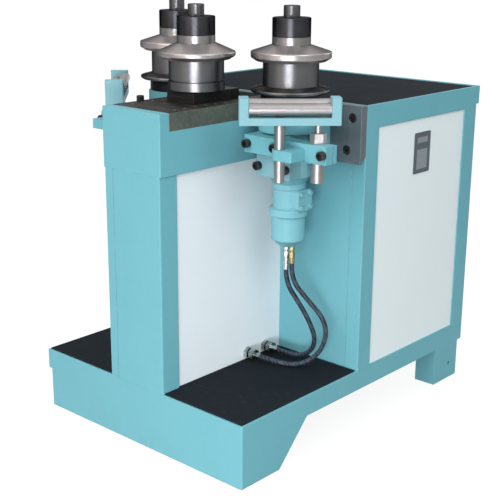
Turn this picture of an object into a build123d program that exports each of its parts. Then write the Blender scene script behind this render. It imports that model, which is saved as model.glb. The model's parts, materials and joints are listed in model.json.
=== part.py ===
from build123d import *
import math
import os

os.makedirs("parts", exist_ok=True)

# The floor is Z 0, the operator stands in front on the -Y side, X runs to the right
base_width = 800.0
base_depth = 1081.0
band_overhang = 15.0
overall_depth = base_depth + band_overhang
front_y = -overall_depth / 2
base_rear_y = front_y + base_depth

# Base frame of bent plate
deck_height = 180.0
skirt_height = 60.0
base_plate = 6.0
foot_length = 153.0
foot_slope = 116.0
left_foot_inset = 14.0
rear_foot_width = 71.0
rear_foot_length = 133.0
rear_foot_setback = 21.0
side_hole_diameter = 14.0
side_hole_height = 50.0
side_hole_from_rear = 45.0
base_corner_radius = 4.0

# Rubber mats
mat_thickness = 4.0
mat_rim = 6.0

# Neck that carries the press slide
post_width = 215.0
post_depth = 65.0
post_wall = 8.0
post_seam_x = -75.0
head_width = 223.0
head_height = 165.0
head_wall = 16.0
head_floor = 16.0
head_front_wall = 20.0
table_height = 955.0
slab_thickness = 48.0
slab_setback = 35.0
slab_bottom = table_height - slab_thickness
head_bottom = table_height - head_height
neck_panel_recess = 7.0
panel_sheet = 3.0
neck_panel_face = post_width / 2 - neck_panel_recess

# Cross plate between neck and cabinet
cabinet_setback = 500.0
cross_plate_thickness = 25.0
cross_plate_height = 160.0
cross_plate_chamfer = 20.0
cabinet_front_y = front_y + cabinet_setback
cross_front_y = cabinet_front_y - cross_plate_thickness
cross_bottom = table_height - cross_plate_height

# Cabinet
cabinet_wall = 4.0
band_height = 55.0
tray_depth = 8.0
top_mat_thickness = 5.0
opening_front_margin = 59.0
opening_rear_margin = 67.0
opening_top_margin = 10.0
opening_bottom_margin = 4.0
panel_lap = 10.0
panel_gap = 1.0
rear_opening_margin = 100.0
rear_opening_lift = 60.0
rear_opening_drop = 155.0
louvre_length = 150.0
louvre_height = 8.0
louvre_pitch = 34.0
louvre_rows = 9
louvre_column_pitch = 210.0
seam_from_edge = 46.0
seam_width = 1.5
seam_depth = 1.2
nameplate_width = 84.0
nameplate_height = 122.0
nameplate_thickness = 1.5
nameplate_drop = 229.0
nameplate_from_opening = 187.0
cabinet_inside_x = base_width / 2 - cabinet_wall
cabinet_panel_face = cabinet_inside_x
band_bottom = table_height - band_height
nameplate_bottom = table_height - nameplate_drop
rear_opening_width = base_width - 2 * rear_opening_margin
rear_opening_bottom = deck_height + rear_opening_lift
rear_opening_height = table_height - rear_opening_drop - rear_opening_bottom
opening_front_y = cabinet_front_y + opening_front_margin
opening_rear_y = base_rear_y - opening_rear_margin
opening_bottom = deck_height + opening_bottom_margin
opening_top = band_bottom - opening_top_margin

# Roll axes
press_setback = 248.0
side_setback = 390.0
press_y = front_y + press_setback
side_x = 220.0
side_y = front_y + side_setback

# Rolls, collars and shafts
roll_lift = 31.0
roll_bottom = table_height + roll_lift
roll_radius = 76.5
flange_radius = 110.0
press_flange_radius = 108.0
roll_height = 127.5
roll_body_top = 82.0
flange_rim_low = 94.0
flange_rim_high = 110.0
press_rim_high = 105.0
flange_underside_step = 14.0
rim_round = 4.0
lower_flange_rim = 10.0
lower_flange_top = 19.0
groove_height = 25.0
ring_radius = 78.5
groove_width = 5.0
groove_depth = 4.0
collar_radius = 52.5
collar_height = 72.0
collar_band = 21.5
collar_seat_radius = 23.5
shaft_end_radius = 22.5
shaft_end_length = 31.5
shaft_radius = 25.0
shoulder_radius = 30.0
drive_radius = 12.5
drive_length = 40.0
fit = 0.05
running_gap = 0.3
end_gap = 2.0
roll_top = roll_bottom + roll_height
collar_top = roll_top + collar_height

# Bearings and their covers
bearing_radius = 39.0
bearing_height = 30.0
mid_bore_radius = 34.0
cover_radius = 82.0
cover_gap = 2.0
cover_clearance = 1.0
cover_recess = 8.0
cover_chamfer = 3.0
cover_top = roll_bottom - cover_gap

# Side housings and caps
housing_top_drop = 2.0
housing_top = table_height - housing_top_drop
housing_flange_radius = 87.0
housing_flange_height = 73.0
housing_radius = 64.0
housing_foot_radius = 58.0
housing_foot = 22.0
block_width = 150.0
cap_width = 120.0
cap_drop = 198.0
cap_gap = 1.0
cap_reach = 72.0
housing_flange_bottom = housing_top - housing_flange_height
cap_bottom = table_height - cap_drop
housing_bottom = cap_bottom - housing_foot
cap_front_y = side_y - cap_reach

# Hydraulic motors
motor_flange_radius = 47.0
motor_flange_height = 14.0
motor_neck_radius = 44.0
motor_ridge_radius = 55.0
motor_body_radius = 48.0
motor_foot_radius = 24.0
motor_ridge_top = 73.0
motor_ridge_bottom = 95.0
motor_body_bottom = 163.0
motor_length = 184.0
boss_root = 26.5
boss_size = 60.0
boss_corner = 14.0
boss_reach = 60.0
boss_drop = 44.0
boss_screw_across_flats = 12.0
boss_screw_head = 6.0
boss_screw_pitch = 38.0

# Hose fittings and hoses
port_offset = 5.0
port_spacing = 20.0
fitting_across_flats = 16.0
fitting_hex = 12.0
fitting_neck = 6.0
fitting_nut = 14.0
ferrule_radius = 8.5
fitting_neck_radius = 6.0
hose_radius = 7.0
hose_a_drop = 72.0
hose_b_drop = 50.0
bulkhead_lift = 23.0
bulkhead_a_back = 40.0
bulkhead_b_ahead = 38.0
bulkhead_length = 54.5
bulkhead_nut = 12.0
bulkhead_hex = 16.0
bulkhead_across_flats = 30.0
bulkhead_stub = 22.0
hose_a_straight = 42.0
hose_b_straight = 50.0
hose_a_lead = 40.0
hose_b_lead = 45.0
hose_a_swing = 76.0
hose_b_swing = 98.0
hose_a_back = 48.0
hose_b_back = 47.0
hose_a_belly = 66.0
hose_b_belly = 102.0
motor_bottom = housing_bottom - motor_length
hose_a_top = motor_bottom - hose_a_drop
hose_b_top = motor_bottom - hose_b_drop
bulkhead_height = deck_height + bulkhead_lift
bulkhead_a_y = side_y + bulkhead_a_back
bulkhead_b_y = side_y - bulkhead_b_ahead

# Guide units, laid out in a frame turned about the upright axis
guide_angle = 45.0
guide_length = 263.0
guide_depth = 52.0
guide_height = 70.0
guide_arm_thickness = 25.0
guide_base_thickness = 19.0
guide_drop = 28.0
guide_out = 114.7
guide_ahead = 139.8
guide_bottom = table_height - guide_drop
guide_x = side_x + guide_out
guide_y = side_y - guide_ahead
guide_roller_radius = 14.5
rear_roller_back = 18.0
rear_roller_height = 50.0
front_roller_ahead = 10.0
front_roller_height = 40.0
journal_radius = 5.0
journal_reach = 15.0
guide_post_radius = 14.0
guide_post_along = -25.5
guide_post_drop = 57.0
guide_stud_radius = 10.0
guide_stud_along = 75.0
guide_stud_drop = 34.0
bush_radius = 18.0
bush_length = 57.0
bush_chamfer = 1.5
nut_across_flats = 38.0
nut_height = 27.0

# Arms that hold the guide posts
arm_inward = 62.0
arm_outward = 218.0
arm_depth = 46.0
arm_drop = 126.0
arm_height = 48.0
clamp_wall = 5.0
clamp_outward = 150.0
left_clamp_outward = 192.0
clamp_lift = 5.0
clamp_height = 28.0
clamp_slit = 3.0
clamp_screw_inset = 10.0
cap_screw_spacing = 98.0
cap_screw_rise = 25.0
cap_screw_low_rise = 29.0
cap_screw_radius = 8.0
cap_screw_head_radius = 12.0
cap_screw_head = 16.0
cap_screw_socket = 14.0
cap_screw_grip = 25.0
screw_clearance = 0.4
arm_back_y = cap_front_y
arm_front_y = arm_back_y - arm_depth
arm_inner_x = side_x - arm_inward
arm_outer_x = side_x + arm_outward
arm_bottom = table_height - arm_drop
clamp_bottom = arm_bottom + clamp_lift
cap_screw_high = arm_bottom + cap_screw_rise
cap_screw_low = cap_bottom + cap_screw_low_rise
guide_post_foot = arm_bottom - guide_post_drop
guide_stud_foot = arm_bottom - guide_stud_drop
bush_foot = arm_bottom - bush_length

# Press slide, rod and cylinder
press_back = 10.0
press_forward = 100.0
slide_front = 80.0
slide_gap = 0.5
slide_neck_inset = 59.5
slide_neck_front = 63.0
slide_neck_step = 8.0
slide_tail_radius = 55.0
slide_tail_drop = 5.0
tail_clearance = 3.0
tail_floor = 10.0
slide_width = head_width - 2 * head_wall - 2 * slide_gap
slide_bottom = head_bottom + head_floor + slide_gap
slide_top = slab_bottom - slide_gap
slide_neck_top = cover_top
slide_neck_width = head_width - 2 * slide_neck_inset
slide_tail_bottom = head_bottom - slide_tail_drop
slide_back = cross_front_y - press_y - press_forward - end_gap
slide_neck_back = slide_back - slide_neck_step
rod_height = (slide_bottom + slide_top) / 2
rod_radius = 25.0
rod_end_radius = 20.0
rod_end_length = 40.0
piston_radius = 45.0
piston_length = 40.0
piston_rest = 100.0
barrel_radius = 60.0
barrel_length = 290.0
barrel_flange_radius = 80.0
barrel_flange = 20.0
barrel_end = 30.0

# Screws in slab and cross plate
slab_screw_inset = 10.5
slab_screw_front = 130.0
slab_screw_rear_margin = 35.0
slab_screw_radius = 5.0
slab_screw_head_radius = 10.5
slab_screw_head = 16.0
slab_screw_socket = 10.0
slab_screw_length = 70.0
gib_screw_inset = 29.5
gib_screw_front = 84.0
gib_screw_rear_margin = 45.4
gib_screw_count = 10
gib_screw_radius = 3.5
gib_screw_head_radius = 6.0
gib_screw_head = 6.0
gib_screw_socket = 5.0
gib_screw_proud = 1.0
gib_screw_length = 20.0
plate_screw_radius = 8.0
plate_screw_head_radius = 12.0
plate_screw_head = 16.0
plate_screw_socket = 14.0
plate_screw_sink = 1.0
plate_screw_bore = 13.5
plate_screw_high_inset = 31.0
plate_screw_high_drop = 34.0
plate_screw_low_inset = 48.0
plate_screw_low_drop = 124.0
slab_screw_x = head_width / 2 - slab_screw_inset
gib_screw_x = head_width / 2 - gib_screw_inset
slab_length = cross_front_y - front_y
gib_screw_pitch = (slab_length - gib_screw_front - gib_screw_rear_margin) / (gib_screw_count - 1)

# Power pack inside the cabinet
tank_side_gap = 31.0
tank_motor_gap = 70.0
tank_front_gap = 60.0
tank_rear_gap = 41.0
tank_height = 260.0
tank_wall = 4.0
tank_neck_radius = 30.0
tank_neck_height = 30.0
pack_motor_radius = 105.0
pack_motor_wall_gap = 51.0
pack_motor_front_gap = 60.0
pack_rear_gap = 81.0
pack_motor_foot_height = 150.0
pack_motor_foot_width = 200.0
pack_motor_foot_length = 220.0
pack_bell_radius = 92.0
pack_bell = 24.0
terminal_width = 90.0
terminal_height = 50.0
terminal_length = 110.0
pump_radius = 55.0
pump_length = 110.0
pump_flange_radius = 75.0
pump_flange = 18.0
valve_length = 220.0
valve_width = 110.0
valve_height = 70.0
solenoid_radius = 20.0
solenoid_length = 60.0
solenoid_count = 3
solenoid_pitch = 64.0
pack_motor_x = cabinet_inside_x - pack_motor_wall_gap - pack_motor_radius
pack_motor_front_y = cabinet_front_y + pack_motor_front_gap
pack_motor_length = base_rear_y - pack_rear_gap - pump_length - pack_motor_front_y
tank_width = cabinet_inside_x + pack_motor_x - pack_motor_radius - tank_motor_gap - tank_side_gap
tank_length = base_rear_y - tank_rear_gap - cabinet_front_y - tank_front_gap
tank_x = tank_side_gap + tank_width / 2 - cabinet_inside_x
tank_y = cabinet_front_y + tank_front_gap + tank_length / 2


def write(piece, name):
    """Give a piece its name and write it out."""
    piece.label = name
    export_step(piece, f"parts/{name}.step")


def write_pair(piece, name):
    """Write a right-hand piece and its mirror image on the left."""
    write(piece, f"{name}_right")
    with BuildPart() as left_piece:
        mirror(piece, about=Plane.YZ)
    write(left_piece.part, f"{name}_left")


def upright(x, y):
    """Plane through an upright axis: local x is the radius, local y the height."""
    return Plane((x, y, 0), x_dir=(1, 0, 0), z_dir=(0, -1, 0))


def upright_axis(x, y):
    """The upright axis at a place on the floor plan."""
    return Axis((x, y, 0), (0, 0, 1))


def turned(x, y, points):
    """A body turned about the upright axis from its half profile."""
    with BuildPart() as body:
        with BuildSketch(upright(x, y)):
            with BuildLine():
                Polyline(*points, close=True)
            make_face()
        revolve(axis=upright_axis(x, y))
    return body.part


def socket_screw(seat, head_radius, head, radius, length, socket):
    """A socket screw whose head stands on a plane and whose shank goes down through it."""
    with BuildPart() as screw:
        with BuildSketch(seat):
            Circle(head_radius)
        extrude(amount=head)
        with BuildSketch(seat):
            Circle(radius)
        extrude(amount=-length)
        with BuildSketch(seat.offset(head)):
            RegularPolygon(socket / 2, 6, major_radius=False)
        extrude(amount=-head / 2, mode=Mode.SUBTRACT)
        head_face = screw.faces().sort_by(Axis(seat.origin, seat.z_dir))[-1]
        chamfer(head_face.outer_wire().edges(), head / 12)
    return screw.part


def forward_plane(x, y, z):
    """Plane that faces the operator."""
    return Plane((x, y, z), x_dir=(1, 0, 0), z_dir=(0, -1, 0))


# Base frame: deck with skirt, sloped front foot, two rear feet
skirt_bottom = deck_height - skirt_height
foot_wall_shift = base_plate * math.hypot(foot_slope, skirt_bottom) / skirt_bottom
foot_left_x = -base_width / 2 + left_foot_inset
foot_top_y = front_y + foot_length + foot_slope
slope_rate = foot_slope / skirt_bottom
foot_inner_low_y = front_y + foot_length + slope_rate * base_plate - foot_wall_shift
with BuildPart() as base_frame:
    with BuildSketch(Plane.XY.offset(skirt_bottom)):
        with Locations((0, front_y + base_depth / 2)):
            Rectangle(base_width, base_depth)
    extrude(amount=skirt_height)
    with BuildSketch(Plane.YZ.offset(foot_left_x)):
        with BuildLine():
            Polyline(
                (front_y, 0),
                (front_y + foot_length, 0),
                (foot_top_y, skirt_bottom),
                (front_y, skirt_bottom),
                close=True,
            )
        make_face()
    extrude(amount=base_width / 2 - foot_left_x)
    rear_foot_y = base_rear_y - rear_foot_setback - rear_foot_length / 2
    rear_foot_x = base_width / 2 - rear_foot_width / 2
    with BuildSketch(Plane.XY):
        with Locations((rear_foot_x, rear_foot_y), (-rear_foot_x, rear_foot_y)):
            Rectangle(rear_foot_width, rear_foot_length)
    extrude(amount=skirt_bottom)
    chamfer(base_frame.edges().filter_by(Axis.Z).group_by(SortBy.LENGTH)[-1], base_corner_radius)
    with BuildSketch(Plane.XY.offset(skirt_bottom)):
        with Locations((0, front_y + base_depth / 2)):
            Rectangle(base_width - 2 * base_plate, base_depth - 2 * base_plate)
    extrude(amount=skirt_height - base_plate, mode=Mode.SUBTRACT)
    with BuildSketch(Plane.YZ.offset(foot_left_x + base_plate)):
        with BuildLine():
            Polyline(
                (front_y + base_plate, base_plate),
                (foot_inner_low_y, base_plate),
                (foot_top_y - foot_wall_shift, skirt_bottom),
                (front_y + base_plate, skirt_bottom),
                close=True,
            )
        make_face()
    extrude(amount=base_width / 2 - foot_left_x - 2 * base_plate, mode=Mode.SUBTRACT)
    with BuildSketch(Plane.XY.offset(base_plate)):
        with Locations((rear_foot_x, rear_foot_y), (-rear_foot_x, rear_foot_y)):
            Rectangle(rear_foot_width - 2 * base_plate, rear_foot_length - 2 * base_plate)
    extrude(amount=skirt_bottom - base_plate, mode=Mode.SUBTRACT)
    side_hole_y = base_rear_y - rear_foot_setback - side_hole_from_rear
    with BuildSketch(Plane.YZ.offset(-base_width / 2)):
        with Locations((side_hole_y, side_hole_height)):
            Circle(side_hole_diameter / 2)
    extrude(amount=base_width, mode=Mode.SUBTRACT)
write(base_frame.part, "base_frame")

# Deck mats left and right of the neck
mat_inner_x = neck_panel_face + panel_gap
mat_outer_x = base_width / 2 - mat_rim
mat_length = cabinet_setback - 2 * mat_rim
with BuildPart() as deck_mats:
    with BuildSketch(Plane.XY.offset(deck_height)):
        with GridLocations(mat_inner_x + mat_outer_x, 1, 2, 1):
            with Locations((0, front_y + cabinet_setback / 2)):
                Rectangle(mat_outer_x - mat_inner_x, mat_length)
        with Locations((0, front_y + post_depth / 2)):
            Rectangle(post_width + 2 * panel_gap, post_depth + 2 * panel_gap, mode=Mode.SUBTRACT)
    extrude(amount=mat_thickness)
write(deck_mats.part, "deck_mats")

# Front post, a square tube from the deck to the head
with BuildPart() as neck_post:
    with BuildSketch(Plane.XY.offset(deck_height)):
        with Locations((0, front_y + post_depth / 2)):
            RectangleRounded(post_width, post_depth, post_wall / 2)
            Rectangle(post_width - 2 * post_wall, post_depth - 2 * post_wall, mode=Mode.SUBTRACT)
    extrude(amount=head_bottom - deck_height)
    with BuildSketch(forward_plane(post_seam_x, front_y, (deck_height + head_bottom) / 2)):
        Rectangle(seam_width, head_bottom - deck_height)
    extrude(amount=-seam_depth, mode=Mode.SUBTRACT)
write(neck_post.part, "neck_post")

# Head: a box open at the top and rear, with a slot in its floor for the press motor
slot_front_y = press_y - press_back
slot_rear_y = press_y + press_forward
slot_middle_y = (slot_front_y + slot_rear_y) / 2
slot_travel = press_back + press_forward
cavity_front_y = slot_front_y - slide_front - end_gap
pocket_depth = cavity_front_y - front_y - 2 * head_front_wall
slab_screw_places = [
    (-slab_screw_x, front_y + slab_screw_front),
    (-slab_screw_x, cross_front_y - slab_screw_rear_margin),
    (slab_screw_x, cross_front_y - slab_screw_rear_margin),
]
with BuildPart() as neck_head:
    with BuildSketch(Plane.YZ.offset(-head_width / 2)):
        with BuildLine():
            Polyline(
                (front_y, head_bottom),
                (cross_front_y, head_bottom),
                (cross_front_y, slab_bottom),
                (front_y + slab_setback, slab_bottom),
                (front_y + slab_setback, table_height),
                (front_y, table_height),
                close=True,
            )
        make_face()
    extrude(amount=head_width)
    fillet(neck_head.edges().filter_by(Axis.Z).group_by(Axis.Y)[0], post_wall / 2)
    with BuildSketch(Plane.XY.offset(head_bottom + head_floor)):
        with Locations((0, (cavity_front_y + cross_front_y) / 2)):
            Rectangle(head_width - 2 * head_wall, cross_front_y - cavity_front_y)
    extrude(amount=slab_bottom - head_bottom - head_floor, mode=Mode.SUBTRACT)
    with BuildSketch(Plane.XY.offset(head_bottom)):
        with Locations((0, slot_middle_y)):
            SlotCenterToCenter(slot_travel, 2 * (slide_tail_radius + tail_clearance), rotation=90)
    extrude(amount=head_floor, mode=Mode.SUBTRACT)
    with BuildSketch(Plane.XY.offset(head_bottom)):
        with Locations((0, front_y + head_front_wall + pocket_depth / 2)):
            Rectangle(head_width - 2 * head_wall, pocket_depth)
    extrude(amount=slab_bottom - head_bottom - head_front_wall, mode=Mode.SUBTRACT)
    with BuildSketch(Plane.XY.offset(slab_bottom)):
        with Locations(*slab_screw_places):
            Circle(slab_screw_radius + screw_clearance)
    extrude(amount=-slab_screw_length, mode=Mode.SUBTRACT)
write(neck_head.part, "neck_head")

# White neck panels; the right one has two holes for the bulkhead fittings
with BuildPart() as neck_panel_left:
    with BuildSketch(Plane.YZ.offset(-neck_panel_face)):
        with Locations(((front_y + post_depth + cabinet_front_y) / 2, (deck_height + head_bottom) / 2)):
            Rectangle(cabinet_setback - post_depth, head_bottom - deck_height)
    extrude(amount=panel_sheet)
write(neck_panel_left.part, "neck_panel_left")

with BuildPart() as neck_panel_right:
    mirror(neck_panel_left.part, about=Plane.YZ)
    with BuildSketch(Plane.YZ.offset(neck_panel_face)):
        with Locations((bulkhead_a_y, bulkhead_height), (bulkhead_b_y, bulkhead_height)):
            Circle(ferrule_radius + screw_clearance)
    extrude(amount=-panel_sheet, mode=Mode.SUBTRACT)
write(neck_panel_right.part, "neck_panel_right")

# Dark slab with the slot the press slide runs in, open at the rear
slab_slot_front_y = slot_front_y - slide_neck_front - end_gap
gib_screw_places = []
for gib_number in range(gib_screw_count):
    for gib_x in (-gib_screw_x, gib_screw_x):
        gib_screw_places.append((gib_x, front_y + gib_screw_front + gib_number * gib_screw_pitch))
with BuildPart() as top_slab:
    slab_middle_y = (front_y + slab_setback + cross_front_y) / 2
    with BuildSketch(Plane.XY.offset(slab_bottom)):
        with Locations((0, slab_middle_y)):
            Rectangle(head_width, cross_front_y - front_y - slab_setback)
        with Locations((0, (slab_slot_front_y + cross_front_y) / 2)):
            Rectangle(slide_neck_width + 2 * slide_gap, cross_front_y - slab_slot_front_y, mode=Mode.SUBTRACT)
        with Locations(*slab_screw_places):
            Circle(slab_screw_radius + screw_clearance, mode=Mode.SUBTRACT)
    extrude(amount=slab_thickness)
    with BuildSketch(Plane.XY.offset(table_height)):
        with Locations(*gib_screw_places):
            Circle(gib_screw_head_radius + screw_clearance)
    extrude(amount=-gib_screw_head + gib_screw_proud, mode=Mode.SUBTRACT)
    with BuildSketch(Plane.XY.offset(table_height)):
        with Locations(*gib_screw_places):
            Circle(gib_screw_radius + screw_clearance)
    extrude(amount=-gib_screw_head - gib_screw_length, mode=Mode.SUBTRACT)
write(top_slab.part, "top_slab")

with BuildPart() as slab_screws:
    for screw_x, screw_y in slab_screw_places:
        add(
            socket_screw(
                Plane((screw_x, screw_y, table_height)),
                slab_screw_head_radius,
                slab_screw_head,
                slab_screw_radius,
                slab_screw_length,
                slab_screw_socket,
            )
        )
write(slab_screws.part, "slab_screws")

# Small screws of the gib strips under the slab
with BuildPart() as gib_screws:
    for screw_x, screw_y in gib_screw_places:
        add(
            socket_screw(
                Plane((screw_x, screw_y, table_height - gib_screw_head + gib_screw_proud)),
                gib_screw_head_radius,
                gib_screw_head,
                gib_screw_radius,
                gib_screw_length,
                gib_screw_socket,
            )
        )
write(gib_screws.part, "gib_screws")

# Cross plate with counterbored screw holes and the bore for the piston rod
plate_screw_high_x = base_width / 2 - plate_screw_high_inset
plate_screw_low_x = base_width / 2 - plate_screw_low_inset
plate_screw_high_z = table_height - plate_screw_high_drop
plate_screw_low_z = table_height - plate_screw_low_drop
plate_screw_places = [
    (plate_screw_high_x, plate_screw_high_z),
    (-plate_screw_high_x, plate_screw_high_z),
    (plate_screw_low_x, plate_screw_low_z),
    (-plate_screw_low_x, plate_screw_low_z),
]
with BuildPart() as cross_plate:
    with BuildSketch(forward_plane(0, cabinet_front_y, 0)):
        with Locations((0, table_height - cross_plate_height / 2)):
            Rectangle(base_width, cross_plate_height)
        with Locations(*plate_screw_places):
            Circle(plate_screw_radius + screw_clearance, mode=Mode.SUBTRACT)
        with Locations((0, rod_height)):
            Circle(rod_radius + running_gap, mode=Mode.SUBTRACT)
    extrude(amount=cross_plate_thickness)
    with BuildSketch(forward_plane(0, cross_front_y, 0)):
        with Locations(*plate_screw_places):
            Circle(plate_screw_bore)
    extrude(amount=-plate_screw_head - plate_screw_sink, mode=Mode.SUBTRACT)
    lower_edges = cross_plate.edges().filter_by(Axis.X).group_by(Axis.Z)[0]
    chamfer(lower_edges.sort_by(Axis.Y)[-1], cross_plate_chamfer)
write(cross_plate.part, "cross_plate")

with BuildPart() as plate_screws:
    for screw_x, screw_z in plate_screw_places:
        screw_seat_y = cross_front_y + plate_screw_head + plate_screw_sink
        add(
            socket_screw(
                forward_plane(screw_x, screw_seat_y, screw_z),
                plate_screw_head_radius,
                plate_screw_head,
                plate_screw_radius,
                cross_plate_thickness,
                plate_screw_socket,
            )
        )
write(plate_screws.part, "plate_screws")

# Cabinet of bent sheet with an overhanging top band and a shallow tray on top
cabinet_depth = base_depth - cabinet_setback
cabinet_middle_y = (cabinet_front_y + base_rear_y) / 2
band_middle_y = (cabinet_front_y + base_rear_y + band_overhang) / 2
tray_floor = table_height - tray_depth
opening_middle_y = (opening_front_y + opening_rear_y) / 2
opening_middle_z = (opening_bottom + opening_top) / 2
rear_opening_middle_z = rear_opening_bottom + rear_opening_height / 2
with BuildPart() as cabinet_body:
    with BuildSketch(Plane.XY.offset(deck_height)):
        with Locations((0, cabinet_middle_y)):
            Rectangle(base_width, cabinet_depth)
    extrude(amount=table_height - deck_height)
    with BuildSketch(Plane.XY.offset(band_bottom)):
        with Locations((0, band_middle_y)):
            Rectangle(base_width, cabinet_depth + band_overhang)
    extrude(amount=band_height)
    chamfer(cabinet_body.edges().filter_by(Axis.Z).group_by(Axis.Y)[0], cabinet_wall / 2)
    with BuildSketch(Plane.XY.offset(deck_height)):
        with Locations((0, cabinet_middle_y)):
            Rectangle(base_width - 2 * cabinet_wall, cabinet_depth - 2 * cabinet_wall)
    extrude(amount=tray_floor - cabinet_wall - deck_height, mode=Mode.SUBTRACT)
    with BuildSketch(Plane.XY.offset(tray_floor)):
        with Locations((0, band_middle_y)):
            Rectangle(base_width - 2 * mat_rim, cabinet_depth + band_overhang - 2 * mat_rim)
    extrude(amount=tray_depth, mode=Mode.SUBTRACT)
    with BuildSketch(Plane.YZ.offset(-base_width / 2)):
        with Locations((opening_middle_y, opening_middle_z)):
            Rectangle(opening_rear_y - opening_front_y, opening_top - opening_bottom)
    extrude(amount=base_width, mode=Mode.SUBTRACT)
    with BuildSketch(forward_plane(0, base_rear_y, 0)):
        with Locations((0, rear_opening_middle_z)):
            Rectangle(rear_opening_width, rear_opening_height)
    extrude(amount=cabinet_wall, mode=Mode.SUBTRACT)
    with BuildSketch(forward_plane(0, cabinet_front_y, 0)):
        with Locations((0, rod_height)):
            Circle(barrel_flange_radius + panel_gap)
        with Locations(*plate_screw_places):
            Circle(plate_screw_radius + screw_clearance)
    extrude(amount=-cabinet_wall, mode=Mode.SUBTRACT)
    with BuildSketch(forward_plane(0, cabinet_front_y, 0)):
        with Locations((base_width / 2 - seam_from_edge, (deck_height + cross_bottom) / 2)):
            Rectangle(seam_width, cross_bottom - deck_height)
    extrude(amount=-seam_depth, mode=Mode.SUBTRACT)
write(cabinet_body.part, "cabinet_body")

# White cabinet side panels lie behind the openings
with BuildPart() as cabinet_panels:
    with BuildSketch(Plane.YZ.offset(cabinet_panel_face)):
        with Locations((opening_middle_y, opening_middle_z + panel_gap)):
            Rectangle(
                opening_rear_y - opening_front_y + 2 * panel_lap,
                opening_top - opening_bottom + 2 * opening_bottom_margin - 2 * panel_gap,
            )
    extrude(amount=-panel_sheet)
    mirror(about=Plane.YZ)
write(cabinet_panels.part, "cabinet_panels")

# Louvred rear panel
with BuildPart() as rear_panel:
    with BuildSketch(forward_plane(0, base_rear_y - cabinet_wall, 0)):
        with Locations((0, rear_opening_middle_z)):
            Rectangle(rear_opening_width + 2 * panel_lap, rear_opening_height + 2 * panel_lap)
            with GridLocations(louvre_column_pitch, louvre_pitch, 2, louvre_rows):
                SlotOverall(louvre_length, louvre_height, mode=Mode.SUBTRACT)
    extrude(amount=panel_sheet)
write(rear_panel.part, "rear_panel")

# Mat in the top tray
with BuildPart() as top_mat:
    with BuildSketch(Plane.XY.offset(tray_floor)):
        with Locations((0, band_middle_y)):
            RectangleRounded(
                base_width - 2 * mat_rim - 2 * panel_gap,
                cabinet_depth + band_overhang - 2 * mat_rim - 2 * panel_gap,
                mat_rim,
            )
    extrude(amount=top_mat_thickness)
write(top_mat.part, "top_mat")

# Bare nameplate on the right panel
with BuildPart() as nameplate:
    nameplate_y = opening_front_y + nameplate_from_opening + nameplate_width / 2
    with BuildSketch(Plane.YZ.offset(cabinet_panel_face)):
        with Locations((nameplate_y, nameplate_bottom + nameplate_height / 2)):
            RectangleRounded(nameplate_width, nameplate_height, nameplate_thickness * 3)
    extrude(amount=nameplate_thickness)
write(nameplate.part, "nameplate")

# Side housing, bored for the roll shaft, bolted to the cross plate
cap_screw_xs = (side_x - cap_screw_spacing / 2, side_x + cap_screw_spacing / 2)
upper_seat = housing_top - bearing_height - cover_recess
with BuildPart() as side_housing:
    add(
        turned(
            side_x,
            side_y,
            [
                (0, housing_bottom),
                (motor_flange_radius, housing_bottom),
                (housing_foot_radius, cap_bottom),
                (housing_radius, cap_bottom),
                (housing_radius, housing_flange_bottom),
                (0, housing_flange_bottom),
            ],
        )
    )
    with BuildSketch(Plane.XY.offset(housing_flange_bottom)):
        with Locations((side_x, side_y)):
            Circle(housing_flange_radius)
    extrude(amount=housing_flange_height)
    with BuildSketch(Plane.XY.offset(cross_bottom)):
        with Locations((side_x, (side_y + cross_front_y) / 2)):
            Rectangle(block_width, cross_front_y - side_y)
    extrude(amount=housing_top - cross_bottom)
    with BuildSketch(Plane.XY.offset(housing_bottom)):
        with Locations((side_x, cross_front_y + housing_flange_radius / 2)):
            Rectangle(2 * housing_flange_radius, housing_flange_radius)
    extrude(amount=housing_top - housing_bottom, mode=Mode.SUBTRACT)
    with BuildSketch(Plane.XY.offset(cap_bottom)):
        with Locations((side_x, side_y - housing_flange_radius / 2)):
            Rectangle(2 * housing_flange_radius, housing_flange_radius)
    extrude(amount=housing_flange_bottom - cap_bottom, mode=Mode.SUBTRACT)
    with BuildSketch(Plane.XY.offset(housing_bottom)):
        with Locations((side_x, side_y)):
            Circle(shoulder_radius)
    extrude(amount=cap_bottom - housing_bottom, mode=Mode.SUBTRACT)
    with BuildSketch(Plane.XY.offset(cap_bottom)):
        with Locations((side_x, side_y)):
            Circle(bearing_radius)
    extrude(amount=housing_flange_bottom - cap_bottom, mode=Mode.SUBTRACT)
    with BuildSketch(Plane.XY.offset(housing_flange_bottom)):
        with Locations((side_x, side_y)):
            Circle(mid_bore_radius)
    extrude(amount=upper_seat - housing_flange_bottom, mode=Mode.SUBTRACT)
    with BuildSketch(Plane.XY.offset(upper_seat)):
        with Locations((side_x, side_y)):
            Circle(bearing_radius)
    extrude(amount=housing_top - upper_seat, mode=Mode.SUBTRACT)
    with BuildSketch(forward_plane(0, side_y, 0)):
        for screw_x in cap_screw_xs:
            with Locations((screw_x, cap_screw_high), (screw_x, cap_screw_low)):
                Circle(cap_screw_radius + screw_clearance)
    extrude(amount=-cap_screw_grip - end_gap, mode=Mode.SUBTRACT)
    flange_rims = side_housing.edges().filter_by(GeomType.CIRCLE)
    fillet(flange_rims.filter_by(lambda edge: edge.radius == housing_flange_radius), 3)
write_pair(side_housing.part, "side_housing")

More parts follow.
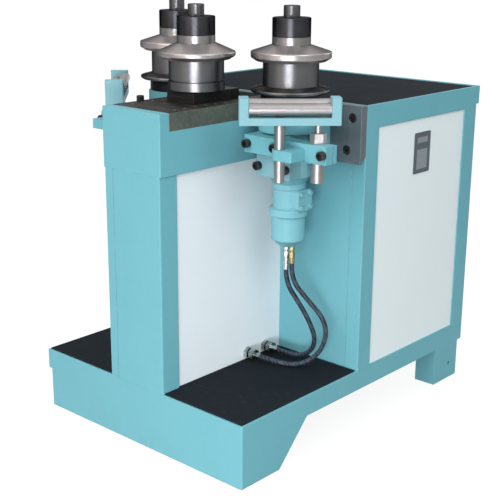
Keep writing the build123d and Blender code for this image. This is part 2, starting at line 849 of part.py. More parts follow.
# Split cap on the front of the housing
cap_height = housing_flange_bottom - cap_bottom - cap_gap
with BuildPart() as housing_cap:
    with BuildSketch(Plane.XY.offset(cap_bottom)):
        with Locations((side_x, side_y)):
            Circle(housing_radius)
        with Locations((side_x, side_y - cap_reach / 2)):
            Rectangle(cap_width, cap_reach)
        with Locations((side_x, side_y + housing_flange_radius / 2)):
            Rectangle(2 * housing_flange_radius, housing_flange_radius, mode=Mode.SUBTRACT)
        with Locations((side_x, side_y)):
            Circle(bearing_radius, mode=Mode.SUBTRACT)
    extrude(amount=cap_height)
    with BuildSketch(forward_plane(0, cap_front_y, 0)):
        for screw_x in cap_screw_xs:
            with Locations((screw_x, cap_screw_high), (screw_x, cap_screw_low)):
                Circle(cap_screw_radius + screw_clearance)
    extrude(amount=-cap_reach, mode=Mode.SUBTRACT)
    fillet(housing_cap.edges().filter_by(Axis.Z).group_by(Axis.Y)[0], 4)
write_pair(housing_cap.part, "housing_cap")

# Bearings: plain rings seated on shoulders
lower_bearing_top = cap_bottom + bearing_height
bearing_inner = shaft_radius + fit
bearing_outer = bearing_radius - fit
upper_bearing_top = upper_seat + bearing_height


def ring(x, y, inner, outer, low, high):
    """A plain ring about an upright axis."""
    return turned(x, y, [(inner, low), (outer, low), (outer, high), (inner, high)])


with BuildPart() as side_bearings:
    add(ring(side_x, side_y, bearing_inner, bearing_outer, cap_bottom, lower_bearing_top))
    add(ring(side_x, side_y, bearing_inner, bearing_outer, upper_seat, upper_bearing_top))
    mirror(about=Plane.YZ)
write(side_bearings.part, "side_bearings")

# Dark covers between the side housings and the rolls
cover_bore = shoulder_radius + cover_clearance
with BuildPart() as side_covers:
    add(
        turned(
            side_x,
            side_y,
            [
                (cover_bore, housing_top),
                (cover_radius, housing_top),
                (cover_radius, cover_top - cover_chamfer),
                (cover_radius - cover_chamfer, cover_top),
                (cover_bore, cover_top),
            ],
        )
    )
    mirror(about=Plane.YZ)
write(side_covers.part, "side_covers")


def hydraulic_motor(x, y, top):
    """Hydraulic motor with mounting flange, square side boss and a tapered foot."""
    bore = drive_radius + fit
    axis_height = top - boss_drop
    with BuildPart() as motor:
        add(
            turned(
                x,
                y,
                [
                    (bore, top),
                    (motor_flange_radius, top),
                    (motor_flange_radius, top - motor_flange_height),
                    (motor_neck_radius, top - motor_flange_height - 4),
                    (motor_neck_radius, top - motor_ridge_top + 5),
                    (motor_ridge_radius, top - motor_ridge_top),
                    (motor_ridge_radius, top - motor_ridge_bottom + 3),
                    (motor_body_radius, top - motor_ridge_bottom),
                    (motor_body_radius, top - motor_body_bottom),
                    (motor_foot_radius, top - motor_length),
                    (0, top - motor_length),
                    (0, top - drive_length - end_gap),
                    (bore, top - drive_length - end_gap),
                ],
            )
        )
        boss_plane = Plane((x, y, axis_height), x_dir=(0, 1, 0), z_dir=(1, 0, 0))
        with BuildSketch(boss_plane.offset(boss_root)):
            RectangleRounded(boss_size, boss_size, boss_corner)
        extrude(amount=boss_reach - boss_root)
        with BuildSketch(boss_plane.offset(boss_reach)):
            with GridLocations(boss_screw_pitch, boss_screw_pitch, 2, 2):
                RegularPolygon(boss_screw_across_flats / 2, 6, major_radius=False)
        extrude(amount=boss_screw_head)
    return motor.part


with BuildPart() as side_motor:
    add(hydraulic_motor(side_x, side_y, housing_bottom))
write_pair(side_motor.part, "side_motor")

# Hose fittings under the side motors
port_a_x = side_x + port_offset - port_spacing / 2
port_b_x = side_x + port_offset + port_spacing / 2


def hose_fitting(plane, nut_size, hex_length, neck_length, nut_length, whole_length):
    """Hexagon, waist, swivel nut and crimped ferrule along the plane's normal."""
    with BuildPart() as fitting:
        with BuildSketch(plane):
            RegularPolygon(nut_size / 2, 6, major_radius=False, rotation=30)
        extrude(amount=hex_length)
        with BuildSketch(plane.offset(hex_length)):
            Circle(fitting_neck_radius)
        extrude(amount=neck_length)
        with BuildSketch(plane.offset(hex_length + neck_length)):
            RegularPolygon(nut_size / 2, 6, major_radius=False, rotation=30)
        extrude(amount=nut_length)
        with BuildSketch(plane.offset(hex_length + neck_length + nut_length)):
            Circle(ferrule_radius)
        extrude(amount=whole_length - hex_length - neck_length - nut_length)
    return fitting.part


with BuildPart() as motor_fittings:
    for port_x, port_end in ((port_a_x, hose_a_top), (port_b_x, hose_b_top)):
        add(
            hose_fitting(
                Plane((port_x, side_y, motor_bottom), x_dir=(1, 0, 0), z_dir=(0, 0, -1)),
                fitting_across_flats,
                fitting_hex,
                fitting_neck,
                fitting_nut,
                motor_bottom - port_end,
            )
        )
    mirror(about=Plane.YZ)
write(motor_fittings.part, "motor_fittings")

# Bulkhead fittings through the right neck panel
bulkhead_end_x = neck_panel_face + bulkhead_length
with BuildPart() as bulkhead_fittings:
    for bulkhead_y in (bulkhead_a_y, bulkhead_b_y):
        add(
            hose_fitting(
                Plane((neck_panel_face, bulkhead_y, bulkhead_height), x_dir=(0, 1, 0), z_dir=(1, 0, 0)),
                bulkhead_across_flats,
                bulkhead_nut,
                fitting_neck,
                bulkhead_hex,
                bulkhead_length,
            )
        )
        with BuildSketch(Plane.YZ.offset(neck_panel_face)):
            with Locations((bulkhead_y, bulkhead_height)):
                Circle(ferrule_radius)
        extrude(amount=-bulkhead_stub)
write(bulkhead_fittings.part, "bulkhead_fittings")


def bend_radii(points):
    """Radius at each inner point that joins its two runs with a smooth bend."""
    radii = []
    for before, here, after in zip(points, points[1:], points[2:]):
        run_in = Vector(*here) - Vector(*before)
        run_out = Vector(*after) - Vector(*here)
        half_turn = math.radians(run_in.get_angle(run_out)) / 2
        radii.append(0.45 * min(run_in.length, run_out.length) / math.tan(half_turn))
    return radii


def hose(points, name):
    """Round hose along straight runs joined by smooth bends."""
    radii = bend_radii(points)
    with BuildPart() as tube:
        with BuildLine():
            route = FilletPolyline(*points, radius=radii)
        with BuildSketch(Plane(route @ 0, z_dir=route % 0)):
            Circle(hose_radius)
        sweep()
    whole = route.length
    share = tube.part.volume / (math.pi * hose_radius**2 * whole)
    print(name, "length", round(whole), "smallest radius", round(min(radii)), "volume share", round(share, 4))
    write(tube.part, name)


def between(first, last, x_share, y_share, z_share):
    """Point at its own share of the way along each axis."""
    x = first[0] + x_share * (last[0] - first[0])
    y = first[1] + y_share * (last[1] - first[1])
    z = first[2] + z_share * (last[2] - first[2])
    return (x, y, z)


# Hoses hang from the right motor, swing outward and come back to the neck panel
hose_a_bend = (port_a_x, side_y, hose_a_top - hose_a_straight)
hose_a_wide = (port_a_x + hose_a_swing, side_y + hose_a_back, bulkhead_height + hose_a_belly)
hose_a_return = (bulkhead_end_x + hose_a_lead, bulkhead_a_y, bulkhead_height)
hose_a_points = [
    (port_a_x, side_y, hose_a_top),
    hose_a_bend,
    between(hose_a_bend, hose_a_wide, 0.47, 0.4, 0.35),
    between(hose_a_bend, hose_a_wide, 0.84, 0.77, 0.7),
    hose_a_wide,
    between(hose_a_wide, hose_a_return, 0.175, -0.3, 0.64),
    between(hose_a_wide, hose_a_return, 0.58, -0.1, 1),
    hose_a_return,
    (bulkhead_end_x, bulkhead_a_y, bulkhead_height),
]
hose(hose_a_points, "hose_a")

hose_b_bend = (port_b_x, side_y, hose_b_top - hose_b_straight)
hose_b_wide = (port_b_x + hose_b_swing, side_y + hose_b_back, bulkhead_height + hose_b_belly)
hose_b_return = (bulkhead_end_x + hose_b_lead, bulkhead_b_y, bulkhead_height)
hose_b_points = [
    (port_b_x, side_y, hose_b_top),
    hose_b_bend,
    between(hose_b_bend, hose_b_wide, 0.43, 0.47, 0.38),
    between(hose_b_bend, hose_b_wide, 0.82, 0.87, 0.68),
    hose_b_wide,
    between(hose_b_wide, hose_b_return, 0.06, 0.12, 0.52),
    between(hose_b_wide, hose_b_return, 0.3, 0.34, 0.94),
    between(hose_b_wide, hose_b_return, 0.64, 0.635, 1.1),
    hose_b_return,
    (bulkhead_end_x, bulkhead_b_y, bulkhead_height),
]
hose(hose_b_points, "hose_b")

# Guide arm: bar across the cap, clamp block ahead of it, both slit to grip the posts
guide_turn = math.radians(guide_angle)
guide_along = (math.cos(guide_turn), math.sin(guide_turn), 0)
guide_plane = Plane((guide_x, guide_y, 0), x_dir=guide_along, z_dir=(0, 0, 1))
post_x = guide_x + guide_post_along * math.cos(guide_turn)
post_y = guide_y + guide_post_along * math.sin(guide_turn)
stud_x = guide_x + guide_stud_along * math.cos(guide_turn)
stud_y = guide_y + guide_stud_along * math.sin(guide_turn)
clamp_radius = guide_post_radius + clamp_wall
clamp_inner_x = post_x - clamp_radius
clamp_front_y = post_y - clamp_radius
clamp_screw_x = arm_outer_x - clamp_screw_inset


def guide_arm(clamp_outer_x):
    """Bar across the cap with a clamp block ahead of it that ends at a given place."""
    with BuildPart() as arm:
        with BuildSketch(Plane.XY.offset(arm_bottom)):
            with Locations(((arm_inner_x + arm_outer_x) / 2, (arm_front_y + arm_back_y) / 2)):
                Rectangle(arm_outer_x - arm_inner_x, arm_depth)
        extrude(amount=arm_height)
        with BuildSketch(Plane.XY.offset(clamp_bottom)):
            with Locations((post_x, post_y)):
                Circle(clamp_radius)
            with Locations((post_x, (post_y + arm_front_y) / 2)):
                Rectangle(2 * clamp_radius, arm_front_y - post_y)
            with Locations(((post_x + clamp_outer_x) / 2, (clamp_front_y + arm_front_y) / 2)):
                Rectangle(clamp_outer_x - post_x, arm_front_y - clamp_front_y)
        extrude(amount=clamp_height)
        fillet(arm.edges().filter_by(Axis.Z).group_by(Axis.Y)[0].sort_by(Axis.X)[-1], clamp_wall)
        with BuildSketch(Plane.XY.offset(arm_bottom)):
            with Locations((post_x, post_y)):
                Circle(guide_post_radius + fit)
            with Locations((stud_x, stud_y)):
                Circle(guide_stud_radius + fit)
            with Locations(((stud_x + arm_outer_x) / 2, stud_y)):
                Rectangle(arm_outer_x - stud_x, clamp_slit)
            with Locations(((clamp_inner_x + post_x) / 2, post_y)):
                Rectangle(clamp_radius, clamp_slit)
        extrude(amount=arm_height, mode=Mode.SUBTRACT)
        with BuildSketch(forward_plane(0, arm_front_y, 0)):
            with Locations((cap_screw_xs[0], cap_screw_high), (cap_screw_xs[1], cap_screw_high)):
                Circle(cap_screw_radius + screw_clearance)
            with Locations((clamp_screw_x, cap_screw_high)):
                Circle(cap_screw_radius + screw_clearance)
        extrude(amount=-arm_depth, mode=Mode.SUBTRACT)
    return arm.part


write(guide_arm(side_x + clamp_outward), "guide_arm_right")
with BuildPart() as guide_arm_left:
    mirror(guide_arm(side_x + left_clamp_outward), about=Plane.YZ)
write(guide_arm_left.part, "guide_arm_left")

# Screws that hold arms and caps
cap_screw_end_y = side_y + cap_screw_grip
with BuildPart() as arm_screws:
    for screw_x, head_y, screw_z, end_y in (
        (cap_screw_xs[0], arm_front_y, cap_screw_high, cap_screw_end_y),
        (cap_screw_xs[1], arm_front_y, cap_screw_high, cap_screw_end_y),
        (cap_screw_xs[0], cap_front_y, cap_screw_low, cap_screw_end_y),
        (cap_screw_xs[1], cap_front_y, cap_screw_low, cap_screw_end_y),
        (clamp_screw_x, arm_front_y, cap_screw_high, arm_back_y),
    ):
        add(
            socket_screw(
                forward_plane(screw_x, head_y, screw_z),
                cap_screw_head_radius,
                cap_screw_head,
                cap_screw_radius,
                end_y - head_y,
                cap_screw_socket,
            )
        )
    mirror(about=Plane.YZ)
write(arm_screws.part, "arm_screws")

# Hexagon nuts on the outer posts
arm_top = arm_bottom + arm_height
with BuildPart() as guide_nuts:
    with BuildSketch(Plane.XY.offset(arm_top)):
        with Locations((stud_x, stud_y)):
            RegularPolygon(nut_across_flats / 2, 6, major_radius=False, rotation=guide_angle)
            Circle(guide_stud_radius + running_gap, mode=Mode.SUBTRACT)
    extrude(amount=nut_height)
    mirror(about=Plane.YZ)
write(guide_nuts.part, "guide_nuts")

# Steel bushes under the arms guide the studs
with BuildPart() as guide_bushes:
    with BuildSketch(Plane.XY.offset(bush_foot)):
        with Locations((stud_x, stud_y)):
            Circle(bush_radius)
            Circle(guide_stud_radius + fit, mode=Mode.SUBTRACT)
    extrude(amount=arm_bottom - bush_foot)
    bush_foot_edges = guide_bushes.edges().filter_by(GeomType.CIRCLE).group_by(Axis.Z)[0]
    chamfer(bush_foot_edges.sort_by(SortBy.RADIUS)[-1], bush_chamfer)
    mirror(about=Plane.YZ)
write(guide_bushes.part, "guide_bushes")

# Guide bracket: a U with two cross rollers
guide_inside = guide_length - 2 * guide_arm_thickness
with BuildPart() as guide_bracket:
    with BuildSketch(guide_plane.offset(guide_bottom)):
        Rectangle(guide_length, guide_depth)
    extrude(amount=guide_height)
    with BuildSketch(guide_plane.offset(guide_bottom + guide_base_thickness)):
        Rectangle(guide_inside, guide_depth)
    extrude(amount=guide_height - guide_base_thickness, mode=Mode.SUBTRACT)
    chamfer(guide_bracket.edges().filter_by(Axis.Z), 2)
    with BuildSketch(guide_plane.offset(guide_bottom)):
        with Locations((guide_post_along, 0)):
            Circle(guide_post_radius + fit)
        with Locations((guide_stud_along, 0)):
            Circle(guide_stud_radius + fit)
    extrude(amount=guide_base_thickness, mode=Mode.SUBTRACT)
    side_plane = Plane(
        guide_plane.from_local_coords((-guide_inside / 2 - journal_reach, 0, guide_bottom)),
        x_dir=guide_plane.y_dir,
        z_dir=guide_plane.x_dir,
    )
    with BuildSketch(side_plane):
        with Locations((rear_roller_back, rear_roller_height)):
            Circle(journal_radius + fit)
        with Locations((-front_roller_ahead, front_roller_height)):
            Circle(journal_radius + fit)
    extrude(amount=guide_inside + 2 * journal_reach, mode=Mode.SUBTRACT)
write_pair(guide_bracket.part, "guide_bracket")

# A post and an adjusting stud carry each bracket
with BuildPart() as guide_posts:
    with BuildSketch(guide_plane.offset(guide_post_foot)):
        with Locations((guide_post_along, 0)):
            Circle(guide_post_radius)
    extrude(amount=guide_bottom + guide_base_thickness - guide_post_foot)
    with BuildSketch(guide_plane.offset(guide_stud_foot)):
        with Locations((guide_stud_along, 0)):
            Circle(guide_stud_radius)
    extrude(amount=guide_bottom + guide_base_thickness - guide_stud_foot)
    chamfer(guide_posts.edges().filter_by(GeomType.CIRCLE).group_by(Axis.Z)[0], 2.5)
write_pair(guide_posts.part, "guide_posts")


def guide_roller(back, height):
    """Roller with journals at both ends that run in the bracket's arms."""
    with BuildPart() as roller:
        with BuildSketch(side_plane.offset(running_gap)):
            with Locations((back, height)):
                Circle(journal_radius)
        extrude(amount=guide_inside + 2 * journal_reach - 2 * running_gap)
        with BuildSketch(side_plane.offset(journal_reach + running_gap)):
            with Locations((back, height)):
                Circle(guide_roller_radius)
        extrude(amount=guide_inside - 2 * running_gap)
    return roller.part


with BuildPart() as rear_guide_roller:
    add(guide_roller(rear_roller_back, rear_roller_height))
write_pair(rear_guide_roller.part, "rear_guide_roller")

with BuildPart() as front_guide_roller:
    add(guide_roller(-front_roller_ahead, front_roller_height))
write_pair(front_guide_roller.part, "front_guide_roller")

# Press slide in the head: block, neck up through the slab, round tail through the floor
press_upper_seat = slide_neck_top - bearing_height - cover_recess
press_lower_seat = slide_tail_bottom + tail_floor
with BuildPart() as press_slide:
    with BuildSketch(Plane.XY.offset(slide_bottom)):
        with Locations((0, press_y + (slide_back - slide_front) / 2)):
            Rectangle(slide_width, slide_front + slide_back)
    extrude(amount=slide_top - slide_bottom)
    with BuildSketch(Plane.XY.offset(slide_top)):
        with Locations((0, press_y + (slide_neck_back - slide_neck_front) / 2)):
            Rectangle(slide_neck_width, slide_neck_front + slide_neck_back)
    extrude(amount=slide_neck_top - slide_top)
    with BuildSketch(Plane.XY.offset(slide_tail_bottom)):
        with Locations((0, press_y)):
            Circle(slide_tail_radius)
    extrude(amount=slide_bottom - slide_tail_bottom)
    add(
        turned(
            0,
            press_y,
            [
                (0, slide_tail_bottom),
                (shoulder_radius, slide_tail_bottom),
                (shoulder_radius, press_lower_seat),
                (bearing_radius, press_lower_seat),
                (bearing_radius, press_lower_seat + bearing_height),
                (mid_bore_radius, press_lower_seat + bearing_height),
                (mid_bore_radius, press_upper_seat),
                (bearing_radius, press_upper_seat),
                (bearing_radius, slide_neck_top),
                (0, slide_neck_top),
            ],
        ),
        mode=Mode.SUBTRACT,
    )
    slide_rear_y = press_y + slide_back
    with BuildSketch(forward_plane(0, slide_rear_y, 0)):
        with Locations((0, rod_height)):
            Circle(rod_end_radius + fit)
    extrude(amount=rod_end_length, mode=Mode.SUBTRACT)
write(press_slide.part, "press_slide")

press_lower_top = press_lower_seat + bearing_height
press_upper_top = press_upper_seat + bearing_height
with BuildPart() as press_bearings:
    add(ring(0, press_y, bearing_inner, bearing_outer, press_lower_seat, press_lower_top))
    add(ring(0, press_y, bearing_inner, bearing_outer, press_upper_seat, press_upper_top))
write(press_bearings.part, "press_bearings")

with BuildPart() as press_motor:
    add(hydraulic_motor(0, press_y, slide_tail_bottom))
write(press_motor.part, "press_motor")

# Piston and rod, screwed into the rear of the slide
piston_front_y = cabinet_front_y + piston_rest
rod_plane = Plane((0, 0, rod_height), x_dir=(1, 0, 0), z_dir=(0, 0, 1))
rod_axis = Axis((0, 0, rod_height), (0, 1, 0))
with BuildPart() as press_piston:
    with BuildSketch(rod_plane):
        with BuildLine():
            Polyline(
                (0, slide_rear_y - rod_end_length),
                (rod_end_radius, slide_rear_y - rod_end_length),
                (rod_end_radius, slide_rear_y),
                (rod_radius, slide_rear_y),
                (rod_radius, piston_front_y),
                (piston_radius, piston_front_y),
                (piston_radius, piston_front_y + piston_length),
                (0, piston_front_y + piston_length),
                close=True,
            )
        make_face()
    revolve(axis=rod_axis)
write(press_piston.part, "press_piston")

# Press cylinder behind the cross plate
barrel_rear_y = cabinet_front_y + barrel_length
chamber_front_y = cabinet_front_y + barrel_flange
chamber_rear_y = barrel_rear_y - barrel_end
with BuildPart() as press_cylinder:
    with BuildSketch(rod_plane):
        with BuildLine():
            Polyline(
                (rod_radius + running_gap, cabinet_front_y),
                (barrel_flange_radius, cabinet_front_y),
                (barrel_flange_radius, chamber_front_y),
                (barrel_radius, chamber_front_y),
                (barrel_radius, barrel_rear_y),
                (0, barrel_rear_y),
                (0, chamber_rear_y),
                (piston_radius + running_gap, chamber_rear_y),
                (piston_radius + running_gap, chamber_front_y),
                (rod_radius + running_gap, chamber_front_y),
                close=True,
            )
        make_face()
    revolve(axis=rod_axis)
write(press_cylinder.part, "press_cylinder")


def roll_shaft(x, y, lower_end, bearing_top, name):
    """Shaft with drive end, bearing length, shoulder under the roll and bare end on top."""
    top = collar_top + shaft_end_length
    with BuildPart() as shaft:
        add(
            turned(
                x,
                y,
                [
                    (0, lower_end - drive_length),
                    (drive_radius, lower_end - drive_length),
                    (drive_radius, lower_end + end_gap),
                    (shaft_radius, lower_end + end_gap),
                    (shaft_radius, bearing_top + running_gap),
                    (shoulder_radius, bearing_top + running_gap),
                    (shoulder_radius, roll_bottom),
                    (shaft_radius, roll_bottom),
                    (shaft_radius, roll_top),
                    (collar_seat_radius, roll_top),
                    (collar_seat_radius, collar_top),
                    (shaft_end_radius, collar_top),
                    (shaft_end_radius, top - 2),
                    (shaft_end_radius - 2, top),
                    (5, top),
                    (0, top - 5),
                ],
            )
        )
    write(shaft.part, name)


def upper_profile(rim, rim_high):
    """The bevelled upper flange of a roll, from its body to its bore."""
    return [
        (roll_radius, roll_bottom + roll_body_top),
        (rim - flange_underside_step, roll_bottom + roll_body_top + 3),
        (rim, roll_bottom + flange_rim_low),
        (rim, roll_bottom + rim_high),
        (collar_radius + 4, roll_top),
        (shaft_radius + fit, roll_top),
    ]


def rounded_roll(x, y, points, rim, name):
    """A roll turned from its half profile, with the corners of its rims rounded."""
    with BuildPart() as roll:
        add(turned(x, y, points))
        circles = roll.edges().filter_by(GeomType.CIRCLE)
        fillet(circles.filter_by(lambda edge: abs(edge.radius - rim) < fit), rim_round)
    write(roll.part, name)


def side_roll(x, y, name):
    """Roll with a flange at each end."""
    lower = [
        (shaft_radius + fit, roll_bottom),
        (flange_radius - 6, roll_bottom),
        (flange_radius, roll_bottom + 4),
        (flange_radius, roll_bottom + lower_flange_rim),
        (roll_radius, roll_bottom + lower_flange_top),
    ]
    rounded_roll(x, y, lower + upper_profile(flange_radius, flange_rim_high), flange_radius, name)


def roll_collar(x, y, name):
    """Clamp collar on top of a roll with a fine groove above its bright band."""
    inner = collar_seat_radius + fit
    band = roll_top + collar_band
    with BuildPart() as collar:
        add(
            turned(
                x,
                y,
                [
                    (inner, roll_top),
                    (collar_radius, roll_top),
                    (collar_radius, band - 1),
                    (collar_radius - 1, band),
                    (collar_radius, band + 1),
                    (collar_radius, collar_top - 2),
                    (collar_radius - 2, collar_top),
                    (inner, collar_top),
                ],
            )
        )
    write(collar.part, name)


for side_name, axis_x in (("right", side_x), ("left", -side_x)):
    roll_shaft(axis_x, side_y, housing_bottom, upper_bearing_top, f"{side_name}_shaft")
    side_roll(axis_x, side_y, f"{side_name}_roll")
    roll_collar(axis_x, side_y, f"{side_name}_collar")

roll_shaft(0, press_y, slide_tail_bottom, press_upper_top, "press_shaft")
roll_collar(0, press_y, "press_collar")

# Centre roll: plain lower end with a turned groove
press_lower = [
    (shaft_radius + fit, roll_bottom),
    (ring_radius - 2, roll_bottom),
    (ring_radius, roll_bottom + 2),
    (ring_radius, roll_bottom + groove_height),
    (roll_radius - groove_depth, roll_bottom + groove_height + 1),
    (roll_radius - groove_depth, roll_bottom + groove_height + groove_width - 1),
    (roll_radius, roll_bottom + groove_height + groove_width),
]
press_upper = upper_profile(press_flange_radius, press_rim_high)
rounded_roll(0, press_y, press_lower + press_upper, press_flange_radius, "press_roll")

# Oil tank on the deck, with a filler neck
tank_top = deck_height + tank_height
with BuildPart() as oil_tank:
    with BuildSketch(Plane.XY.offset(deck_height)):
        with Locations((tank_x, tank_y)):
            RectangleRounded(tank_width, tank_length, 5 * tank_wall)
    extrude(amount=tank_height)
    with BuildSketch(Plane.XY.offset(tank_top)):
        with Locations((tank_x, tank_y - tank_length / 2 + 3 * tank_neck_radius)):
            Circle(tank_neck_radius)
    extrude(amount=tank_neck_height)
    with BuildSketch(Plane.XY.offset(deck_height + tank_wall)):
        with Locations((tank_x, tank_y)):
            Rectangle(tank_width - 2 * tank_wall, tank_length - 2 * tank_wall - 10 * tank_wall)
    extrude(amount=tank_height - 2 * tank_wall, mode=Mode.SUBTRACT)
    with BuildSketch(Plane.XY.offset(tank_top - 2 * tank_wall)):
        with Locations((tank_x, tank_y - tank_length / 2 + 3 * tank_neck_radius)):
            Circle(tank_neck_radius - tank_wall)
    extrude(amount=tank_neck_height + 2 * tank_wall, mode=Mode.SUBTRACT)
write(oil_tank.part, "oil_tank")

# Electric motor on a foot, pump on its rear end
pack_axis_z = deck_height + pack_motor_foot_height
pack_middle_y = pack_motor_front_y + pack_motor_length / 2
with BuildPart() as electric_motor:
    with BuildSketch(forward_plane(pack_motor_x, pack_motor_front_y + pack_bell, pack_axis_z)):
        Circle(pack_motor_radius)
    extrude(amount=-(pack_motor_length - 2 * pack_bell))
    with BuildSketch(forward_plane(pack_motor_x, pack_motor_front_y, pack_axis_z)):
        Circle(pack_bell_radius)
    extrude(amount=-pack_motor_length)
    with BuildSketch(Plane.XY.offset(deck_height)):
        with Locations((pack_motor_x, pack_middle_y)):
            Rectangle(pack_motor_foot_width, pack_motor_foot_length)
    extrude(amount=pack_motor_foot_height - pack_motor_radius / 2)
    with BuildSketch(Plane.XY.offset(pack_axis_z)):
        with Locations((pack_motor_x, pack_middle_y)):
            Rectangle(terminal_width, terminal_length)
    extrude(amount=pack_motor_radius + terminal_height)
write(electric_motor.part, "electric_motor")

with BuildPart() as hydraulic_pump:
    with BuildSketch(forward_plane(pack_motor_x, pack_motor_front_y + pack_motor_length, pack_axis_z)):
        Circle(pump_flange_radius)
    extrude(amount=-pump_flange)
    with BuildSketch(forward_plane(pack_motor_x, pack_motor_front_y + pack_motor_length, pack_axis_z)):
        RectangleRounded(2 * pump_radius, 2 * pump_radius, pump_radius / 2)
    extrude(amount=-pump_length)
write(hydraulic_pump.part, "hydraulic_pump")

# Valve block with solenoids on the tank
with BuildPart() as valve_block:
    valve_y = tank_y + tank_length / 6
    with BuildSketch(Plane.XY.offset(tank_top)):
        with Locations((tank_x, valve_y)):
            Rectangle(valve_length, valve_width)
    extrude(amount=valve_height)
    with BuildSketch(Plane.XY.offset(tank_top + valve_height)):
        with Locations((tank_x, valve_y)):
            with GridLocations(solenoid_pitch, 1, solenoid_count, 1):
                Circle(solenoid_radius)
    extrude(amount=solenoid_length)
write(valve_block.part, "valve_block")
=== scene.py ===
import json
import math

import bpy
from mathutils import Matrix, Vector


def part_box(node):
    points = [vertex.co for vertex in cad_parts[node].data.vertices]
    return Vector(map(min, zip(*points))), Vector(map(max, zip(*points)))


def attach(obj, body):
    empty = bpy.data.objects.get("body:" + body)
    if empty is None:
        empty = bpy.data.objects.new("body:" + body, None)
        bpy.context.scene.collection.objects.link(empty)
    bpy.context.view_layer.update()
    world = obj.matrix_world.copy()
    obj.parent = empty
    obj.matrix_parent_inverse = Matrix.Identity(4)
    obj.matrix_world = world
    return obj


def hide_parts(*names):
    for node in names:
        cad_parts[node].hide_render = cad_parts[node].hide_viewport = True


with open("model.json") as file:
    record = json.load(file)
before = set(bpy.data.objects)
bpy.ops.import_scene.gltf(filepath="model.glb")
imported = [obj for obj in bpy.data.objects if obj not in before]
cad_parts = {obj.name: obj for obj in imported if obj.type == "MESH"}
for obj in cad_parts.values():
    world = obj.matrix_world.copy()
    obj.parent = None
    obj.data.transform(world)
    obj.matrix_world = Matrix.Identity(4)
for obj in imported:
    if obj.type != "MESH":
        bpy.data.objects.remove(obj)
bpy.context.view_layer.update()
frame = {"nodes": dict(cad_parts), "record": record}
nodes = frame["nodes"]
scene = bpy.context.scene

# Camera at the photograph's viewing angle
CAMERA_PLACE = Vector((2.0307, -2.3455, 1.3699))
CAMERA_YAW = 0.72985
CAMERA_PITCH = -0.28599
CAMERA_ROLL = -0.00699
SENSOR_MM = 36.0
LENS_MM = 74.693

forward = Vector(
    (
        -math.sin(CAMERA_YAW) * math.cos(CAMERA_PITCH),
        math.cos(CAMERA_YAW) * math.cos(CAMERA_PITCH),
        math.sin(CAMERA_PITCH),
    )
)
level_right = Vector((math.cos(CAMERA_YAW), math.sin(CAMERA_YAW), 0))
level_down = forward.cross(level_right)
right = math.cos(CAMERA_ROLL) * level_right + math.sin(CAMERA_ROLL) * level_down
up = math.sin(CAMERA_ROLL) * level_right - math.cos(CAMERA_ROLL) * level_down
turn = Matrix((right, up, -forward)).transposed()
camera_data = bpy.data.cameras.new("camera")
camera_data.sensor_width = SENSOR_MM
camera_data.lens = LENS_MM
camera = bpy.data.objects.new("camera", camera_data)
camera.matrix_world = Matrix.Translation(CAMERA_PLACE) @ turn.to_4x4()
scene.collection.objects.link(camera)
scene.camera = camera

# Hoses from the right motor to the neck panel, along the route of the solids
MM_PER_METRE = 1000
FRONT_Y = -0.548
HOSE_DIAMETER = 0.014
HOSE_ORDER = 3
HOSE_STEPS = 16
HOSE_SIDES = 6
# Route points in millimetres, with Y measured from the front
HOSE_A_ROUTE = [
    (215, 390, 479),
    (215, 390, 437),
    (250.7, 409.2, 378.2),
    (278.8, 427, 319.4),
    (291, 438, 269),
    (274.2, 440.4, 226.8),
    (235.3, 438.8, 203),
    (195, 430, 203),
    (155, 430, 203),
]
HOSE_B_ROUTE = [
    (235, 390, 501),
    (235, 390, 451),
    (277.1, 412.1, 395.5),
    (315.4, 430.9, 351.7),
    (333, 437, 305),
    (325, 426.8, 252),
    (293.1, 408.1, 209.1),
    (247.9, 383, 192.8),
    (200, 352, 203),
    (155, 352, 203),
]


def hose(name, route):
    """A smooth hose on one spline whose control points are the route."""
    points = [(x / MM_PER_METRE, FRONT_Y + y / MM_PER_METRE, z / MM_PER_METRE) for x, y, z in route]
    curve = bpy.data.curves.new(name + "_line", "CURVE")
    curve.dimensions = "3D"
    spline = curve.splines.new("NURBS")
    spline.points.add(len(points) - 1)
    for point, place in zip(spline.points, points):
        point.co = (*place, 1)
        point.radius = HOSE_DIAMETER / 2
    spline.order_u = HOSE_ORDER
    spline.use_endpoint_u = True
    spline.resolution_u = HOSE_STEPS
    # The points carry the radius, because a curve's box counts theirs and not the bevel's
    curve.bevel_depth = 1.0
    curve.bevel_resolution = HOSE_SIDES
    curve.use_fill_caps = True
    piece = bpy.data.objects.new(name + "_rubber", curve)
    scene.collection.objects.link(piece)
    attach(piece, "frame")
    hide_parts(name)
    return piece


hose_a = hose("hose_a", HOSE_A_ROUTE)
hose_b = hose("hose_b", HOSE_B_ROUTE)


